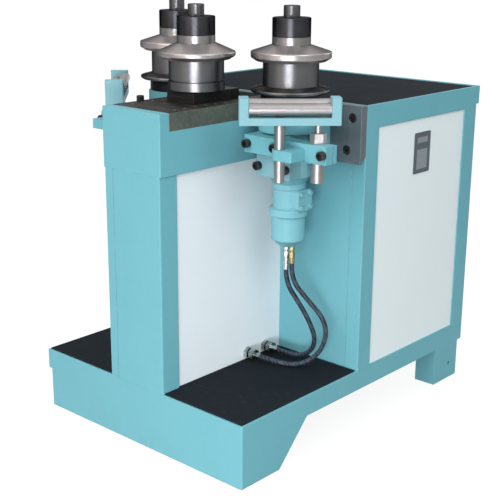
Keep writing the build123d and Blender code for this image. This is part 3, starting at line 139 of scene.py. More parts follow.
# Building blocks for materials and the world
class Graph:
    """One node tree, to which short calls add nodes."""

    def __init__(self, tree):
        self.tree = tree

    def node(self, kind, **settings):
        made = self.tree.nodes.new(kind)
        for key, value in settings.items():
            setattr(made, key, value)
        return made

    def put(self, socket, value):
        """Link a socket or set a plain value."""
        if isinstance(value, bpy.types.NodeSocket):
            self.tree.links.new(value, socket)
        else:
            socket.default_value = value

    def math(self, operation, a, b=0.0):
        made = self.node("ShaderNodeMath", operation=operation)
        self.put(made.inputs[0], a)
        self.put(made.inputs[1], b)
        return made.outputs[0]

    def times(self, value, *factors):
        for factor in factors:
            value = self.math("MULTIPLY", value, factor)
        return value

    def span(self, value, low, high, new_low=0.0, new_high=1.0):
        """Map a value from one range to another, clamped."""
        made = self.node("ShaderNodeMapRange", clamp=True)
        self.put(made.inputs["Value"], value)
        self.put(made.inputs["From Min"], low)
        self.put(made.inputs["From Max"], high)
        self.put(made.inputs["To Min"], new_low)
        self.put(made.inputs["To Max"], new_high)
        return made.outputs[0]

    def blend(self, share, first, second):
        """Mix two colours by a share that varies."""
        made = self.node("ShaderNodeMix", data_type="RGBA")
        self.put(made.inputs["Factor"], share)
        self.put(made.inputs["A"], first if isinstance(first, bpy.types.NodeSocket) else (*first, 1))
        self.put(made.inputs["B"], second if isinstance(second, bpy.types.NodeSocket) else (*second, 1))
        return made.outputs["Result"]

    def dot(self, first, second):
        made = self.node("ShaderNodeVectorMath", operation="DOT_PRODUCT")
        self.put(made.inputs[0], first)
        self.put(made.inputs[1], second)
        return made.outputs["Value"]

    def part(self, vector, name):
        """One coordinate of a vector."""
        made = self.node("ShaderNodeSeparateXYZ")
        self.put(made.inputs[0], vector)
        return made.outputs[name]

    def seen(self):
        """1 for what the camera, a mirror or a clear body looks at, and 0 for light on a dull surface."""
        ray = self.node("ShaderNodeLightPath").outputs
        mirrored = self.math("MAXIMUM", ray["Is Glossy Ray"], ray["Is Transmission Ray"])
        return self.math("MAXIMUM", ray["Is Camera Ray"], mirrored)


class Shade(Graph):
    """A material under construction, in the machine's own coordinates in metres."""

    def __init__(self, name):
        self.material = bpy.data.materials.new(name)
        self.material.use_nodes = True
        super().__init__(self.material.node_tree)
        self.tree.nodes.clear()
        out = self.node("ShaderNodeOutputMaterial")
        self.bsdf = self.node("ShaderNodeBsdfPrincipled")
        self.tree.links.new(self.bsdf.outputs[0], out.inputs[0])
        self.place = self.node("ShaderNodeTexCoord").outputs["Object"]

    def axis(self, name):
        return self.part(self.place, name)

    def stretched(self, scale):
        made = self.node("ShaderNodeMapping")
        self.put(made.inputs["Vector"], self.place)
        self.put(made.inputs["Scale"], scale)
        return made.outputs[0]

    def noise(self, scale, detail=4.0, rough=0.55, vector=None, distort=0.0):
        made = self.node("ShaderNodeTexNoise")
        self.put(made.inputs["Vector"], vector or self.place)
        self.put(made.inputs["Scale"], scale)
        self.put(made.inputs["Detail"], detail)
        self.put(made.inputs["Roughness"], rough)
        self.put(made.inputs["Distortion"], distort)
        return made.outputs[0]

    def patches(self, low, high, **noise):
        """Soft patches where the noise passes from low to high."""
        return self.span(self.noise(**noise), low, high)

    def cells(self, scale):
        made = self.node("ShaderNodeTexVoronoi", feature="F1")
        self.put(made.inputs["Vector"], self.place)
        self.put(made.inputs["Scale"], scale)
        return made.outputs["Distance"]

    def edge(self, radius):
        """How near a point is to an outer edge, and the rounded normal there."""
        rounded = self.node("ShaderNodeBevel", samples=EDGE_SAMPLES)
        self.put(rounded.inputs["Radius"], radius)
        face = self.node("ShaderNodeNewGeometry")
        away = self.math("SUBTRACT", 1.0, self.dot(rounded.outputs[0], face.outputs["Normal"]))
        return self.span(away, *EDGE_TURN), rounded.outputs[0]

    def bump(self, height, strength, distance, normal=None):
        made = self.node("ShaderNodeBump")
        self.put(made.inputs["Height"], height)
        self.put(made.inputs["Strength"], strength)
        self.put(made.inputs["Distance"], distance)
        if normal is not None:
            self.put(made.inputs["Normal"], normal)
        return made.outputs[0]

    def finish(self, colour, roughness, normal=None, metallic=0.0, specular=0.5):
        self.put(self.bsdf.inputs["Base Color"], colour)
        self.put(self.bsdf.inputs["Roughness"], roughness)
        self.put(self.bsdf.inputs["Metallic"], metallic)
        self.put(self.bsdf.inputs["Specular IOR Level"], specular)
        if normal is not None:
            self.put(self.bsdf.inputs["Normal"], normal)
        return self.material


# How far the normal turns at a worn edge, and the rays that look for it
EDGE_TURN = (0.02, 0.22)
EDGE_SAMPLES = 6

# Specular level of paint, rubber, hoses and oiled steel
PAINT_SPECULAR = 0.1
RUBBER_SPECULAR = 0.06
HOSE_SPECULAR = 0.25
OILED_SPECULAR = 0.25

# Heights on the machine where one finish gives way to another, and how softly
DUST_TOP = 0.22
ROLL_FLANGE_FOOT = 1.068
ROLL_FOOT_TOP = 1.005
COLLAR_BLACK_FOOT = 1.135
TURNED_BORDER = 0.0008
BLACK_BORDER = 0.0006

# Fineness of small marks: lathe rings, the wrapping of a hose and the pebbles of a mat
RING_SCALE = 900.0
WRAP_SCALE = 32.0
WRAP_TURN = (0.6, 0.0, 0.8)
WRAP_WAVER = 0.6
MAT_PEBBLES = 420.0

# Turned steel draws its highlights out and loses their white at a grazing view
TURNED_STRETCH = 0.45
TURNED_ROTATION = 0.25
GRAZING_TINT = (0.12, 0.12, 0.12, 1.0)

# Hose fittings: zinc on the inner one of each pair, brass from this distance off the middle
BRASS_FROM = (0.2244, 0.2256)
ZINC = ((0.5, 0.49, 0.46), (0.78, 0.77, 0.74))
BRASS = ((0.3, 0.25, 0.13), (0.52, 0.43, 0.23))

# Nameplate: how softly its blank fields end, and how far they stay from its sides
PLATE_BORDER = 0.0012
PLATE_FIELD_INSET = 0.014
# The lower field starts this far above the plate's foot, and the rest is measured down from its head
PLATE_LOWER_FOOT = 0.012
PLATE_LOWER_HEAD = 0.05
PLATE_UPPER_FOOT = 0.032
PLATE_UPPER_HEAD = 0.014
PLATE_DARK = ((0.085, 0.102, 0.122), (0.118, 0.138, 0.162))
PLATE_PALE = ((0.25, 0.282, 0.302), (0.315, 0.346, 0.366))

# Colours of dirt and of worn edges
DUST = (0.16, 0.17, 0.16)
SCUFF = (0.06, 0.066, 0.072)
MAT_EDGE = (0.1, 0.11, 0.115)
FORGED_NICK = (0.62, 0.6, 0.56)
PLATE_NICK = (0.55, 0.54, 0.53)
FITTING_EDGE = (0.8, 0.78, 0.72)
PLATED_EDGE = (0.75, 0.74, 0.71)
SCREW_EDGE = (0.3, 0.3, 0.29)
NAMEPLATE_EDGE = (0.4, 0.42, 0.43)


def paint(name, tones, roughness, edge_wear_and_highlight, grime=0.03, peel=0.05):
    """Sprayed machine enamel: cloudy tone, orange peel, edges painted lighter as rubbed wear and painted
    highlight, and dust low down.
    """
    tone, deep, pale = tones
    shade = Shade(name)
    cloud = shade.patches(0.3, 0.7, scale=5.0, detail=3.0)
    fine = shade.patches(0.35, 0.7, scale=46.0, detail=5.0)
    body = shade.blend(cloud, deep, tone)
    body = shade.blend(shade.times(fine, 0.35), body, pale)
    streak = shade.patches(0.4, 0.75, scale=9.0, vector=shade.stretched((3.0, 3.0, 0.35)))
    low_down = shade.span(shade.axis("Z"), DUST_TOP, 0.0)
    body = shade.blend(shade.times(streak, low_down, grime), body, DUST)
    # Edges are painted lighter in patches: partly rubbed wear, partly a painted highlight on the rounded
    # edge.
    near, rounded = shade.edge(radius=0.0022)
    wear_and_highlight_share = shade.span(shade.noise(scale=60.0, detail=5.0), 0.42, 0.66, 0.1, 0.75)
    body = shade.blend(shade.times(near, wear_and_highlight_share), body, edge_wear_and_highlight)
    skin = shade.bump(shade.noise(scale=26.0, detail=2.0), strength=0.05, distance=0.003, normal=rounded)
    skin = shade.bump(shade.noise(scale=420.0, detail=2.0), strength=peel, distance=0.0005, normal=skin)
    rough = shade.span(shade.noise(scale=14.0), 0.3, 0.72, roughness - 0.06, roughness + 0.1)
    return shade.finish(body, rough, skin, specular=PAINT_SPECULAR)


def rubber(name, dark, worn):
    """Matt rubber sheet with a pebbled face, pale scuffs and dust."""
    shade = Shade(name)
    cloud = shade.patches(0.35, 0.75, scale=7.0, detail=5.0, rough=0.6)
    lengthwise = shade.stretched((1.0, 2.6, 1.0))
    scuff = shade.patches(0.56, 0.78, scale=34.0, detail=6.0, rough=0.7, vector=lengthwise)
    body = shade.blend(shade.times(cloud, 0.6), dark, worn)
    body = shade.blend(shade.times(scuff, 0.35), body, SCUFF)
    near, rounded = shade.edge(radius=0.0015)
    body = shade.blend(shade.times(near, 0.4), body, MAT_EDGE)
    skin = shade.bump(shade.cells(MAT_PEBBLES), strength=0.35, distance=0.0008, normal=rounded)
    skin = shade.bump(shade.noise(scale=700.0, detail=3.0), strength=0.15, distance=0.0003, normal=skin)
    rough = shade.span(cloud, 0.0, 1.0, 0.72, 0.9)
    return shade.finish(body, rough, skin, specular=RUBBER_SPECULAR)


def forged(name, tones, roughness, nick=0.6, metallic=0.75, shaded_top=None):
    """Oiled dark steel: blotches, long scratches, bright nicks on its edges, and, if given, a top painted
    darker as painted shade with brown stains.
    """
    dark, mid, bright = tones
    shade = Shade(name)
    blotch = shade.patches(0.32, 0.7, scale=11.0, detail=6.0, rough=0.62)
    streak = shade.noise(scale=30.0, detail=5.0, rough=0.65, vector=shade.stretched((0.35, 3.0, 3.0)))
    body = shade.blend(blotch, dark, mid)
    if shaded_top is not None:
        # Faces that look up take the darker top tones: painted shade, with brown patches of stain in it.
        face = shade.node("ShaderNodeNewGeometry")
        upward = shade.span(shade.part(face.outputs["True Normal"], "Z"), 0.6, 0.8)
        patch = shade.patches(0.44, 0.62, scale=17.0, detail=6.0, rough=0.68, distort=0.6)
        body = shade.blend(upward, body, shade.blend(patch, *shaded_top))
    body = shade.blend(shade.times(shade.span(streak, 0.52, 0.74), 0.4), body, bright)
    near, rounded = shade.edge(radius=0.0025)
    chips = shade.patches(0.5, 0.62, scale=190.0, detail=5.0, rough=0.7)
    body = shade.blend(shade.times(near, chips, nick), body, FORGED_NICK)
    skin = shade.bump(streak, strength=0.08, distance=0.0008, normal=rounded)
    skin = shade.bump(shade.noise(scale=260.0), strength=0.1, distance=0.0004, normal=skin)
    rough = shade.span(blotch, 0.0, 1.0, roughness + 0.12, roughness - 0.08)
    return shade.finish(body, rough, skin, metallic=metallic, specular=OILED_SPECULAR)


def turned_steel(name, tone, deep, roughness, flange=None, black=None, foot=None):
    """Lathe-turned steel: fine rings round the upright axis draw each highlight out lengthwise."""
    shade = Shade(name)
    rings = shade.noise(scale=1.0, detail=3.0, rough=0.6, vector=shade.stretched((5.0, 5.0, RING_SCALE)))
    stain = shade.patches(0.36, 0.72, scale=16.0, detail=5.0, rough=0.6)
    body = shade.blend(shade.times(stain, 0.5), tone, deep)
    body = shade.blend(shade.span(rings, 0.45, 0.62, 0.0, 0.3), body, deep)
    rough = shade.span(stain, 0.0, 1.0, roughness - 0.03, roughness + 0.05)
    upright = shade.axis("Z")
    if flange is not None:
        pale, dull, flange_rough = flange
        share = shade.span(upright, ROLL_FLANGE_FOOT - TURNED_BORDER, ROLL_FLANGE_FOOT + TURNED_BORDER)
        cloudy = shade.patches(0.35, 0.7, scale=26.0, detail=6.0, rough=0.65)
        skirt = shade.blend(cloudy, dull, pale)
        skirt = shade.blend(shade.span(rings, 0.45, 0.62, 0.0, 0.25), skirt, dull)
        body = shade.blend(share, body, skirt)
        dulled = shade.span(cloudy, 0.0, 1.0, flange_rough + 0.07, flange_rough - 0.05)
        rough = shade.span(share, 0.0, 1.0, rough, dulled)
    if foot is not None:
        share = shade.span(upright, ROLL_FOOT_TOP + TURNED_BORDER, ROLL_FOOT_TOP - TURNED_BORDER)
        body = shade.blend(share, body, shade.blend(stain, *foot))
    if black is not None:
        share = shade.span(upright, COLLAR_BLACK_FOOT - BLACK_BORDER, COLLAR_BLACK_FOOT + BLACK_BORDER)
        body = shade.blend(share, body, shade.blend(stain, *black))
    skin = shade.bump(rings, strength=0.05, distance=0.0004)
    across = shade.node("ShaderNodeTangent", direction_type="RADIAL", axis="Z")
    shade.put(shade.bsdf.inputs["Tangent"], across.outputs[0])
    shade.put(shade.bsdf.inputs["Anisotropic"], TURNED_STRETCH)
    shade.put(shade.bsdf.inputs["Anisotropic Rotation"], TURNED_ROTATION)
    shade.put(shade.bsdf.inputs["Specular Tint"], GRAZING_TINT)
    return shade.finish(body, rough, skin, metallic=1.0)


def ground_chrome(name, tone, deep, roughness):
    """Ground and plated bars: smooth, with faint stains."""
    shade = Shade(name)
    stain = shade.patches(0.38, 0.72, scale=22.0, detail=5.0, rough=0.6)
    body = shade.blend(shade.times(stain, 0.6), tone, deep)
    rough = shade.span(stain, 0.0, 1.0, roughness - 0.03, roughness + 0.06)
    return shade.finish(body, rough, metallic=1.0)


def brushed_plate(name, dark, mid, pale):
    """Milled grey plate: upright brush marks, oily clouds and rubbed edges."""
    shade = Shade(name)
    brush = shade.noise(scale=1.0, rough=0.6, vector=shade.stretched((210.0, 210.0, 6.0)))
    cloud = shade.patches(0.34, 0.7, scale=9.0, detail=5.0, rough=0.6)
    body = shade.blend(cloud, dark, mid)
    body = shade.blend(shade.span(brush, 0.42, 0.75, 0.0, 0.3), body, pale)
    near, rounded = shade.edge(radius=0.0022)
    chips = shade.patches(0.48, 0.62, scale=150.0, detail=5.0, rough=0.7)
    body = shade.blend(shade.times(near, chips, 0.6), body, PLATE_NICK)
    skin = shade.bump(brush, strength=0.08, distance=0.0005, normal=rounded)
    rough = shade.span(cloud, 0.0, 1.0, 0.5, 0.38)
    return shade.finish(body, rough, skin, metallic=0.45)


def hose_ends(name):
    """Hose fittings under the motors: the inner one of each pair is zinc plated, the outer one brass."""
    shade = Shade(name)
    stain = shade.patches(0.35, 0.7, scale=70.0, detail=5.0, rough=0.6)
    outer = shade.span(shade.math("ABSOLUTE", shade.axis("X")), *BRASS_FROM)
    body = shade.blend(outer, shade.blend(stain, *ZINC), shade.blend(stain, *BRASS))
    near, rounded = shade.edge(radius=0.0008)
    body = shade.blend(shade.times(near, 0.4), body, FITTING_EDGE)
    skin = shade.bump(shade.noise(scale=520.0, detail=3.0), strength=0.08, distance=0.0003, normal=rounded)
    rough = shade.span(stain, 0.0, 1.0, 0.34, 0.22)
    return shade.finish(body, rough, skin, metallic=1.0)


def plated(name, tone, deep, roughness):
    """Plated or ground small steel parts."""
    shade = Shade(name)
    stain = shade.patches(0.35, 0.7, scale=60.0, detail=5.0, rough=0.6)
    body = shade.blend(stain, deep, tone)
    near, rounded = shade.edge(radius=0.0009)
    body = shade.blend(shade.times(near, 0.4), body, PLATED_EDGE)
    skin = shade.bump(shade.noise(scale=520.0, detail=3.0), strength=0.08, distance=0.0003, normal=rounded)
    rough = shade.span(stain, 0.0, 1.0, roughness + 0.08, roughness - 0.05)
    return shade.finish(body, rough, skin, metallic=1.0)


def black_screws(name, dark, worn):
    """Blackened socket screws, rubbed bright on their rims."""
    shade = Shade(name)
    stain = shade.patches(0.35, 0.7, scale=90.0, detail=5.0, rough=0.6)
    body = shade.blend(stain, dark, worn)
    near, rounded = shade.edge(radius=0.0012)
    body = shade.blend(shade.times(near, 0.3), body, SCREW_EDGE)
    skin = shade.bump(shade.noise(scale=600.0, detail=3.0), strength=0.08, distance=0.0003, normal=rounded)
    rough = shade.span(stain, 0.0, 1.0, 0.42, 0.3)
    return shade.finish(body, rough, skin, metallic=0.6)


def hose_rubber(name, dark, worn, print_tone):
    """Black hose with the crossed print of its cloth wrapping."""
    shade = Shade(name)
    crossing = []
    for slant in (1.0, -1.0):
        turned = shade.node("ShaderNodeMapping")
        shade.put(turned.inputs["Vector"], shade.place)
        shade.put(turned.inputs["Rotation"], [slant * angle for angle in WRAP_TURN])
        band = shade.node("ShaderNodeTexWave", wave_type="BANDS", bands_direction="X")
        shade.put(band.inputs["Vector"], turned.outputs[0])
        shade.put(band.inputs["Scale"], WRAP_SCALE)
        shade.put(band.inputs["Distortion"], WRAP_WAVER)
        crossing.append(band.outputs["Fac"])
    wrap = shade.math("MAXIMUM", *crossing)
    cloud = shade.patches(0.35, 0.7, scale=30.0, detail=5.0)
    body = shade.blend(cloud, dark, worn)
    body = shade.blend(shade.span(wrap, 0.6, 1.0, 0.0, 0.55), body, print_tone)
    skin = shade.bump(wrap, strength=0.3, distance=0.0006)
    rough = shade.span(cloud, 0.0, 1.0, 0.4, 0.52)
    return shade.finish(body, rough, skin, specular=HOSE_SPECULAR)


def plate_metal(name):
    """Bare nameplate: dark etched rim and header round paler blank fields, nothing written on it."""
    shade = Shade(name)
    grain = shade.noise(scale=1.0, detail=3.0, rough=0.6, vector=shade.stretched((20.0, 20.0, 1500.0)))
    low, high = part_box("nameplate")
    middle = (low + high) / 2
    half = (high - low) / 2
    across = shade.math("ABSOLUTE", shade.math("SUBTRACT", shade.axis("Y"), middle.y))
    upward = shade.math("SUBTRACT", shade.axis("Z"), middle.z)
    side = half.y - PLATE_FIELD_INSET

    def field(foot, head):
        """A blank field between two heights, drawn in from the plate's sides."""
        inside = shade.span(across, side, side - PLATE_BORDER)
        above = shade.span(upward, foot, foot + PLATE_BORDER)
        below = shade.span(upward, head, head - PLATE_BORDER)
        return shade.times(inside, shade.times(above, below))

    lower = field(PLATE_LOWER_FOOT - half.z, half.z - PLATE_LOWER_HEAD)
    upper = field(half.z - PLATE_UPPER_FOOT, half.z - PLATE_UPPER_HEAD)
    cloud = shade.span(grain, 0.35, 0.7)
    blank = shade.math("MAXIMUM", lower, upper)
    body = shade.blend(blank, shade.blend(cloud, *PLATE_DARK), shade.blend(cloud, *PLATE_PALE))
    near, rounded = shade.edge(radius=0.0006)
    body = shade.blend(shade.times(near, 0.5), body, NAMEPLATE_EDGE)
    skin = shade.bump(grain, strength=0.05, distance=0.0002, normal=rounded)
    rough = shade.span(grain, 0.3, 0.7, 0.34, 0.46)
    return shade.finish(body, rough, skin, metallic=0.35)


# Paints as tone, deep and pale, and the tones of their edges; the teal edge is lighter as rubbed wear and
# painted highlight
TEAL = ((0.157, 0.422, 0.481), (0.147, 0.405, 0.464), (0.17, 0.439, 0.498))
GUIDE_TEAL = ((0.225, 0.445, 0.495), (0.21, 0.425, 0.477), (0.248, 0.465, 0.515))
MOTOR_TEAL = ((0.207, 0.487, 0.55), (0.187, 0.455, 0.518), (0.24, 0.516, 0.574))
TEAL_WORN_EDGE_AND_HIGHLIGHT = (0.34, 0.60, 0.66)
PANEL = ((0.805, 0.872, 0.874), (0.79, 0.858, 0.864), (0.824, 0.886, 0.888))
# The neck panels' white is a copy of the panel white with its tone set for the light in their recess: painted
# light.
NECK_PAINTED_LIGHT = ((0.795, 0.853, 0.88), (0.777, 0.839, 0.867), (0.813, 0.867, 0.89))
PANEL_EDGE = (0.81, 0.84, 0.84)
PANEL_ROUGH = 0.42
PANEL_GRIME = 0.05
PANEL_PEEL = 0.02

# Dark steels as dark, mid and bright, and the two tones of the slab's top, painted darker as painted shade
# with brown stains
SLAB = ((0.08, 0.094, 0.078), (0.155, 0.172, 0.14), (0.26, 0.265, 0.23))
SLAB_SHADED_TOP = ((0.019, 0.02, 0.02), (0.052, 0.047, 0.038))
CROSS = ((0.105, 0.136, 0.15), (0.15, 0.186, 0.205), (0.23, 0.262, 0.277))
BLACK = ((0.014, 0.014, 0.015), (0.034, 0.033, 0.033), (0.09, 0.088, 0.085))
MACHINED = ((0.05, 0.046, 0.042), (0.1, 0.094, 0.086), (0.3, 0.29, 0.27))
SLIDE = ((0.022, 0.022, 0.022), (0.045, 0.044, 0.042), (0.12, 0.118, 0.11))
CASTING = ((0.1, 0.115, 0.12), (0.16, 0.18, 0.185), (0.25, 0.26, 0.26))

# Bright steels as tone and deep
ROLL = ((0.23, 0.23, 0.238), (0.135, 0.135, 0.14))
ROLL_ROUGH = 0.35
SHAFT = ((0.18, 0.18, 0.186), (0.11, 0.11, 0.115))
COLLAR = ((0.38, 0.376, 0.376), (0.28, 0.276, 0.276))
SHAFT_ROUGH = 0.33
POST_CHROME = ((0.38, 0.372, 0.376), (0.29, 0.284, 0.288))
ROLLER_CHROME = ((0.47, 0.443, 0.443), (0.37, 0.35, 0.353))
CHROME_ROUGH = 0.4
NUT = ((0.56, 0.528, 0.518), (0.49, 0.458, 0.45))
GIB = ((0.16, 0.155, 0.14), (0.08, 0.078, 0.07))
BULKHEAD = ((0.55, 0.6, 0.6), (0.18, 0.205, 0.21))

# Other tones on rolls and collars: the flange as pale, dull and roughness, the rest as dark and mid
ROLL_FLANGE = ((0.6, 0.56, 0.55), (0.48, 0.444, 0.436), 0.36)
ROLL_FOOT = ((0.17, 0.17, 0.176), (0.25, 0.248, 0.253))
COLLAR_BLACK = ((0.055, 0.056, 0.062), (0.082, 0.082, 0.09))

# Blackened screws, mats and hoses as dark and worn, and the hose's print
SCREW = ((0.02, 0.02, 0.022), (0.05, 0.049, 0.05))
MAT = ((0.011, 0.0145, 0.0185), (0.018, 0.0225, 0.0275))
HOSE = ((0.01, 0.0155, 0.024), (0.02, 0.03, 0.044), (0.075, 0.1, 0.13))

looks = {
    "paint": paint("paint", TEAL, roughness=0.36, edge_wear_and_highlight=TEAL_WORN_EDGE_AND_HIGHLIGHT),
    "motor_paint": paint("motor_paint", MOTOR_TEAL, roughness=0.32, edge_wear_and_highlight=TEAL_WORN_EDGE_AND_HIGHLIGHT),
    "guide_paint": paint("guide_paint", GUIDE_TEAL, roughness=0.36, edge_wear_and_highlight=TEAL_WORN_EDGE_AND_HIGHLIGHT),
    "panel_white": paint("panel_white", PANEL, PANEL_ROUGH, PANEL_EDGE, PANEL_GRIME, PANEL_PEEL),
    "neck_white_painted_light": paint("neck_white_painted_light", NECK_PAINTED_LIGHT, PANEL_ROUGH, PANEL_EDGE, PANEL_GRIME, PANEL_PEEL),
    "dark_steel": forged("dark_steel", SLAB, roughness=0.5, metallic=0.4, shaded_top=SLAB_SHADED_TOP),
    "cross_steel": brushed_plate("cross_steel", *CROSS),
    "black_steel": forged("black_steel", BLACK, roughness=0.4),
    "machined_steel": forged("machined_steel", MACHINED, roughness=0.38),
    "slide_steel": forged("slide_steel", SLIDE, roughness=0.45, nick=0.25),
    "cast_grey": forged("cast_grey", CASTING, roughness=0.5, nick=0.3, metallic=0.3),
    "roll_steel": turned_steel("roll_steel", *ROLL, ROLL_ROUGH, flange=ROLL_FLANGE),
    "side_roll_steel": turned_steel("side_roll_steel", *ROLL, ROLL_ROUGH, flange=ROLL_FLANGE, foot=ROLL_FOOT),
    "shaft_steel": turned_steel("shaft_steel", *SHAFT, SHAFT_ROUGH),
    "collar_steel": turned_steel("collar_steel", *COLLAR, SHAFT_ROUGH, black=COLLAR_BLACK),
    "ground_chrome": ground_chrome("ground_chrome", *POST_CHROME, CHROME_ROUGH),
    "roller_chrome": ground_chrome("roller_chrome", *ROLLER_CHROME, CHROME_ROUGH),
    "screw_steel": black_screws("screw_steel", *SCREW),
    "nut_steel": plated("nut_steel", *NUT, roughness=0.5),
    "gib_steel": plated("gib_steel", *GIB, roughness=0.4),
    "bulkhead_steel": plated("bulkhead_steel", *BULKHEAD, roughness=0.22),
    "fitting_brass": hose_ends("fitting_brass"),
    "mat_rubber": rubber("mat_rubber", *MAT),
    "hose_rubber": hose_rubber("hose_rubber", *HOSE),
    "plate_grey": plate_metal("plate_grey"),
}

# Each node takes the look of its material slot, apart from these
slot_of = {entry["node"]: entry["material_slot"] for entry in frame["record"]["subparts"]}
special = {
    "press_collar": "collar_steel",
    "press_slide": "slide_steel",
    "cross_plate": "cross_steel",
    "gib_screws": "gib_steel",
    "bulkhead_fittings": "bulkhead_steel",
    "guide_bushes": "ground_chrome",
}
for side in ("right", "left"):
    special[side + "_roll"] = "side_roll_steel"
    special[side + "_collar"] = "collar_steel"
    # The neck panels take the copy of the white whose tone is set for the light in their recess: painted
    # light.
    special["neck_panel_" + side] = "neck_white_painted_light"
    special["guide_posts_" + side] = "ground_chrome"
    special["rear_guide_roller_" + side] = "roller_chrome"
    special["front_guide_roller_" + side] = "roller_chrome"
    special["guide_bracket_" + side] = "guide_paint"
    special["housing_cap_" + side] = "guide_paint"


def dress(piece, look):
    piece.data.materials.clear()
    piece.data.materials.append(looks[look])


for node_name, piece in nodes.items():
    dress(piece, special.get(node_name) or slot_of[node_name])
for piece in (hose_a, hose_b):
    dress(piece, "hose_rubber")

# Pale floor round the object, and a backdrop that sweeps up from its edge all round
FLOOR_RADIUS = 5.6
FLOOR_SIDES = 96
SWEEP_RADIUS = 1.4
SWEEP_STEPS = 24
BACKDROP_TOP = 1.5


def ring(radius, height):
    """Points round the stage at one distance and height."""
    turns = [2 * math.pi * number / FLOOR_SIDES for number in range(FLOOR_SIDES)]
    return [(radius * math.cos(turn), radius * math.sin(turn), height) for turn in turns]


def stage_piece(name, points, faces):
    mesh = bpy.data.meshes.new(name)
    mesh.from_pydata(points, [], faces)
    for face in mesh.polygons:
        face.use_smooth = True
    piece = bpy.data.objects.new(name, mesh)
    scene.collection.objects.link(piece)
    return piece


floor = stage_piece("studio_floor", ring(FLOOR_RADIUS, 0.0), [tuple(range(FLOOR_SIDES))])
profile = []
for step in range(SWEEP_STEPS + 1):
    angle = math.pi / 2 * step / SWEEP_STEPS
    profile.append((FLOOR_RADIUS + SWEEP_RADIUS * math.sin(angle), SWEEP_RADIUS * (1 - math.cos(angle))))
profile.append((FLOOR_RADIUS + SWEEP_RADIUS, BACKDROP_TOP))
sweep_points = [point for radius, height in profile for point in ring(radius, height)]
sweep_faces = []
for row in range(len(profile) - 1):
    low, high = row * FLOOR_SIDES, (row + 1) * FLOOR_SIDES
    for number in range(FLOOR_SIDES):
        after = (number + 1) % FLOOR_SIDES
        sweep_faces.append((low + number, low + after, high + after, high + number))
backdrop = stage_piece("studio_backdrop", sweep_points, sweep_faces)
# The backdrop is only looked at: the room's light passes it
backdrop.visible_diffuse = False
backdrop.visible_shadow = False

# The stage shows white in a pool round the object and in a wedge behind it, and grey outside them
POOL_REACH = (3.0, 1.05)
WEDGE_START = (-1.6, -0.85)
WEDGE_REACH = (2.7, 0.95)
WEDGE_SPREAD = 0.24
WEDGE_TOP = (BACKDROP_TOP, 1.0)
FADE_REACH = (1.3, 2.6)
FLOOR_SHOWN = 0.9
FAR_SHOWN = 1.0
GREY_SHOWN = 0.45
FLOOR_TONES = ((0.115, 0.116, 0.117), (0.125, 0.126, 0.127))
FAR_TONE = (0.005, 0.005, 0.005)
STAGE_ROUGH = 0.8
STAGE_SPECULAR = 0.1
ahead = Vector((forward.x, forward.y, 0)).normalized()
aside = Vector((ahead.y, -ahead.x, 0))


def stage_look():
    """Floor and backdrop: they keep the object's shadow and show as pale to the camera and to metal."""
    shade = Shade("studio_white")
    behind = shade.dot(shade.place, ahead)
    beside = shade.math("ABSOLUTE", shade.dot(shade.place, aside))
    beyond = shade.math("SUBTRACT", beside, shade.times(behind, WEDGE_SPREAD))
    square = shade.math("ADD", shade.times(behind, behind), shade.times(beside, beside))
    distance = shade.math("SQRT", square)
    wedge = shade.times(shade.span(behind, *WEDGE_START), shade.span(beyond, *WEDGE_REACH))
    wedge = shade.times(wedge, shade.span(shade.axis("Z"), *WEDGE_TOP))
    white = shade.math("MAXIMUM", wedge, shade.span(distance, *POOL_REACH))
    shown = shade.span(distance, *FADE_REACH, FLOOR_SHOWN, FAR_SHOWN)
    shown = shade.span(white, 0.0, 1.0, GREY_SHOWN, shown)
    pale = shade.blend(shade.patches(0.3, 0.7, scale=1.3, detail=3.0), *FLOOR_TONES)
    pale = shade.blend(shade.span(distance, *FADE_REACH), pale, FAR_TONE)
    shade.put(shade.bsdf.inputs["Emission Color"], (1, 1, 1, 1))
    shade.put(shade.bsdf.inputs["Emission Strength"], shade.times(shade.seen(), shown))
    shade.material.cycles.emission_sampling = "NONE"
    return shade.finish(pale, STAGE_ROUGH, specular=STAGE_SPECULAR)


stage_white = stage_look()
for piece in (floor, backdrop):
    piece.data.materials.append(stage_white)


def lamp(name, place, target, size, power, tint=(1, 1, 1)):
    data = bpy.data.lights.new(name, "AREA")
    data.shape = "RECTANGLE"
    data.size, data.size_y = size
    data.energy = power
    data.color = tint
    piece = bpy.data.objects.new(name, data)
    piece.location = place
    aim = Vector(target) - Vector(place)
    piece.rotation_euler = aim.to_track_quat("-Z", "Y").to_euler()
    scene.collection.objects.link(piece)
    return piece


# Soft studio lamps: place and target in metres, size in metres, power in watts
WARM = (1.0, 0.84, 0.79)
COOL = (0.95, 0.965, 1.0)
SKY_COOL = (0.93, 0.98, 1.0)
lamp("key_light", place=(0.0, -4.45, 3.0), target=(0, 0, 0.8), size=(2.8, 2.8), power=76, tint=WARM)
lamp("strip_light", place=(1.8, -2.79, 0.42), target=(0, -0.1, 0.6), size=(1.35, 0.7), power=54, tint=COOL)
lamp("back_light", place=(0.4, 4.3, 2.2), target=(0, 0, 0.6), size=(3.0, 2.0), power=40)
lamp("side_light", place=(2.2, -0.5, 2.4), target=(0, -0.2, 0.8), size=(1.2, 1.2), power=13, tint=SKY_COOL)

# Two fills for the back and the left, which metal doesn't mirror
fills = [
    lamp("rear_fill", place=(0.4, 4.3, 1.4), target=(0, 0, 0.6), size=(3.0, 2.0), power=50),
    lamp("left_fill", place=(-4.0, 0.3, 1.4), target=(0, 0.3, 0.6), size=(3.0, 2.0), power=55),
]
for piece in fills:
    piece.visible_glossy = False

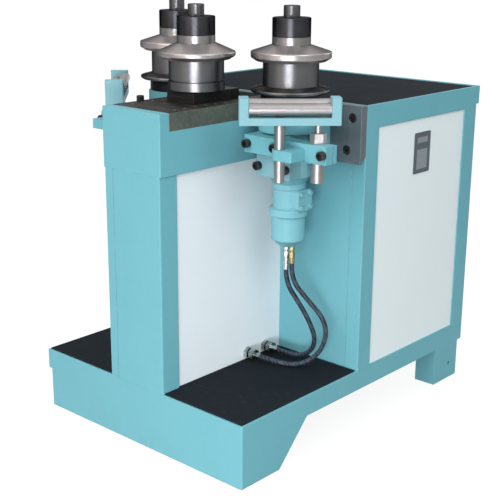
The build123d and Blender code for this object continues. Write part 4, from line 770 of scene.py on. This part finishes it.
# The room lights the object from the front, a little to the right, and is darker towards its floor
SKY_STRENGTH = 1.1
ROOM_FACING = (0.2, -0.98, 0.0)
FRONT_REACH = (-0.5, 0.6)
BACK_SHARE = 0.4
FRONT_SHARE = 1.8
WARM_REACH = (0.1, 0.8)
ROOM_WARM = (1.0, 0.95, 0.94)
ROOM_COOL = (0.83, 0.96, 1.0)
# Brightness by the sine of the height above the horizon: as light, and as looked at
ROOM_LEVELS = [(-0.05, 0.03), (0.35, 0.74), (0.6, 0.76), (1.0, 1.15)]
VIEW_LEVELS = [(-0.05, GREY_SHOWN), (0.02, GREY_SHOWN), (0.12, 0.36), (0.4, 0.5), (0.62, 1.0)]

world = bpy.data.worlds.new("studio")
scene.world = world
world.use_nodes = True
room = Graph(world.node_tree)
toward = room.node("ShaderNodeTexCoord").outputs["Generated"]
rise = room.span(room.part(toward, "Z"), -1.0, 1.0)
facing = room.dot(toward, ROOM_FACING)


def levels(pairs):
    """Grey that follows pairs of height and brightness."""
    made = room.node("ShaderNodeValToRGB")
    elements = made.color_ramp.elements
    while len(elements) < len(pairs):
        elements.new(0.5)
    for element, (height, brightness) in zip(elements, pairs):
        element.position = (height + 1) / 2
        element.color = (brightness, brightness, brightness, 1)
    room.put(made.inputs[0], rise)
    return made.outputs[0]


lighting = world.node_tree.nodes["Background"]
front = room.span(facing, *FRONT_REACH, BACK_SHARE * SKY_STRENGTH, FRONT_SHARE * SKY_STRENGTH)
room.put(lighting.inputs["Color"], room.blend(room.span(facing, *WARM_REACH), ROOM_COOL, ROOM_WARM))
room.put(lighting.inputs["Strength"], room.times(levels(ROOM_LEVELS), front))
looked_at = room.node("ShaderNodeBackground")
room.put(looked_at.inputs["Color"], levels(VIEW_LEVELS))
either = room.node("ShaderNodeMixShader")
room.put(either.inputs[0], room.seen())
room.put(either.inputs[1], lighting.outputs[0])
room.put(either.inputs[2], looked_at.outputs[0])
room.put(world.node_tree.nodes["World Output"].inputs["Surface"], either.outputs[0])

scene.view_settings.view_transform = "Standard"
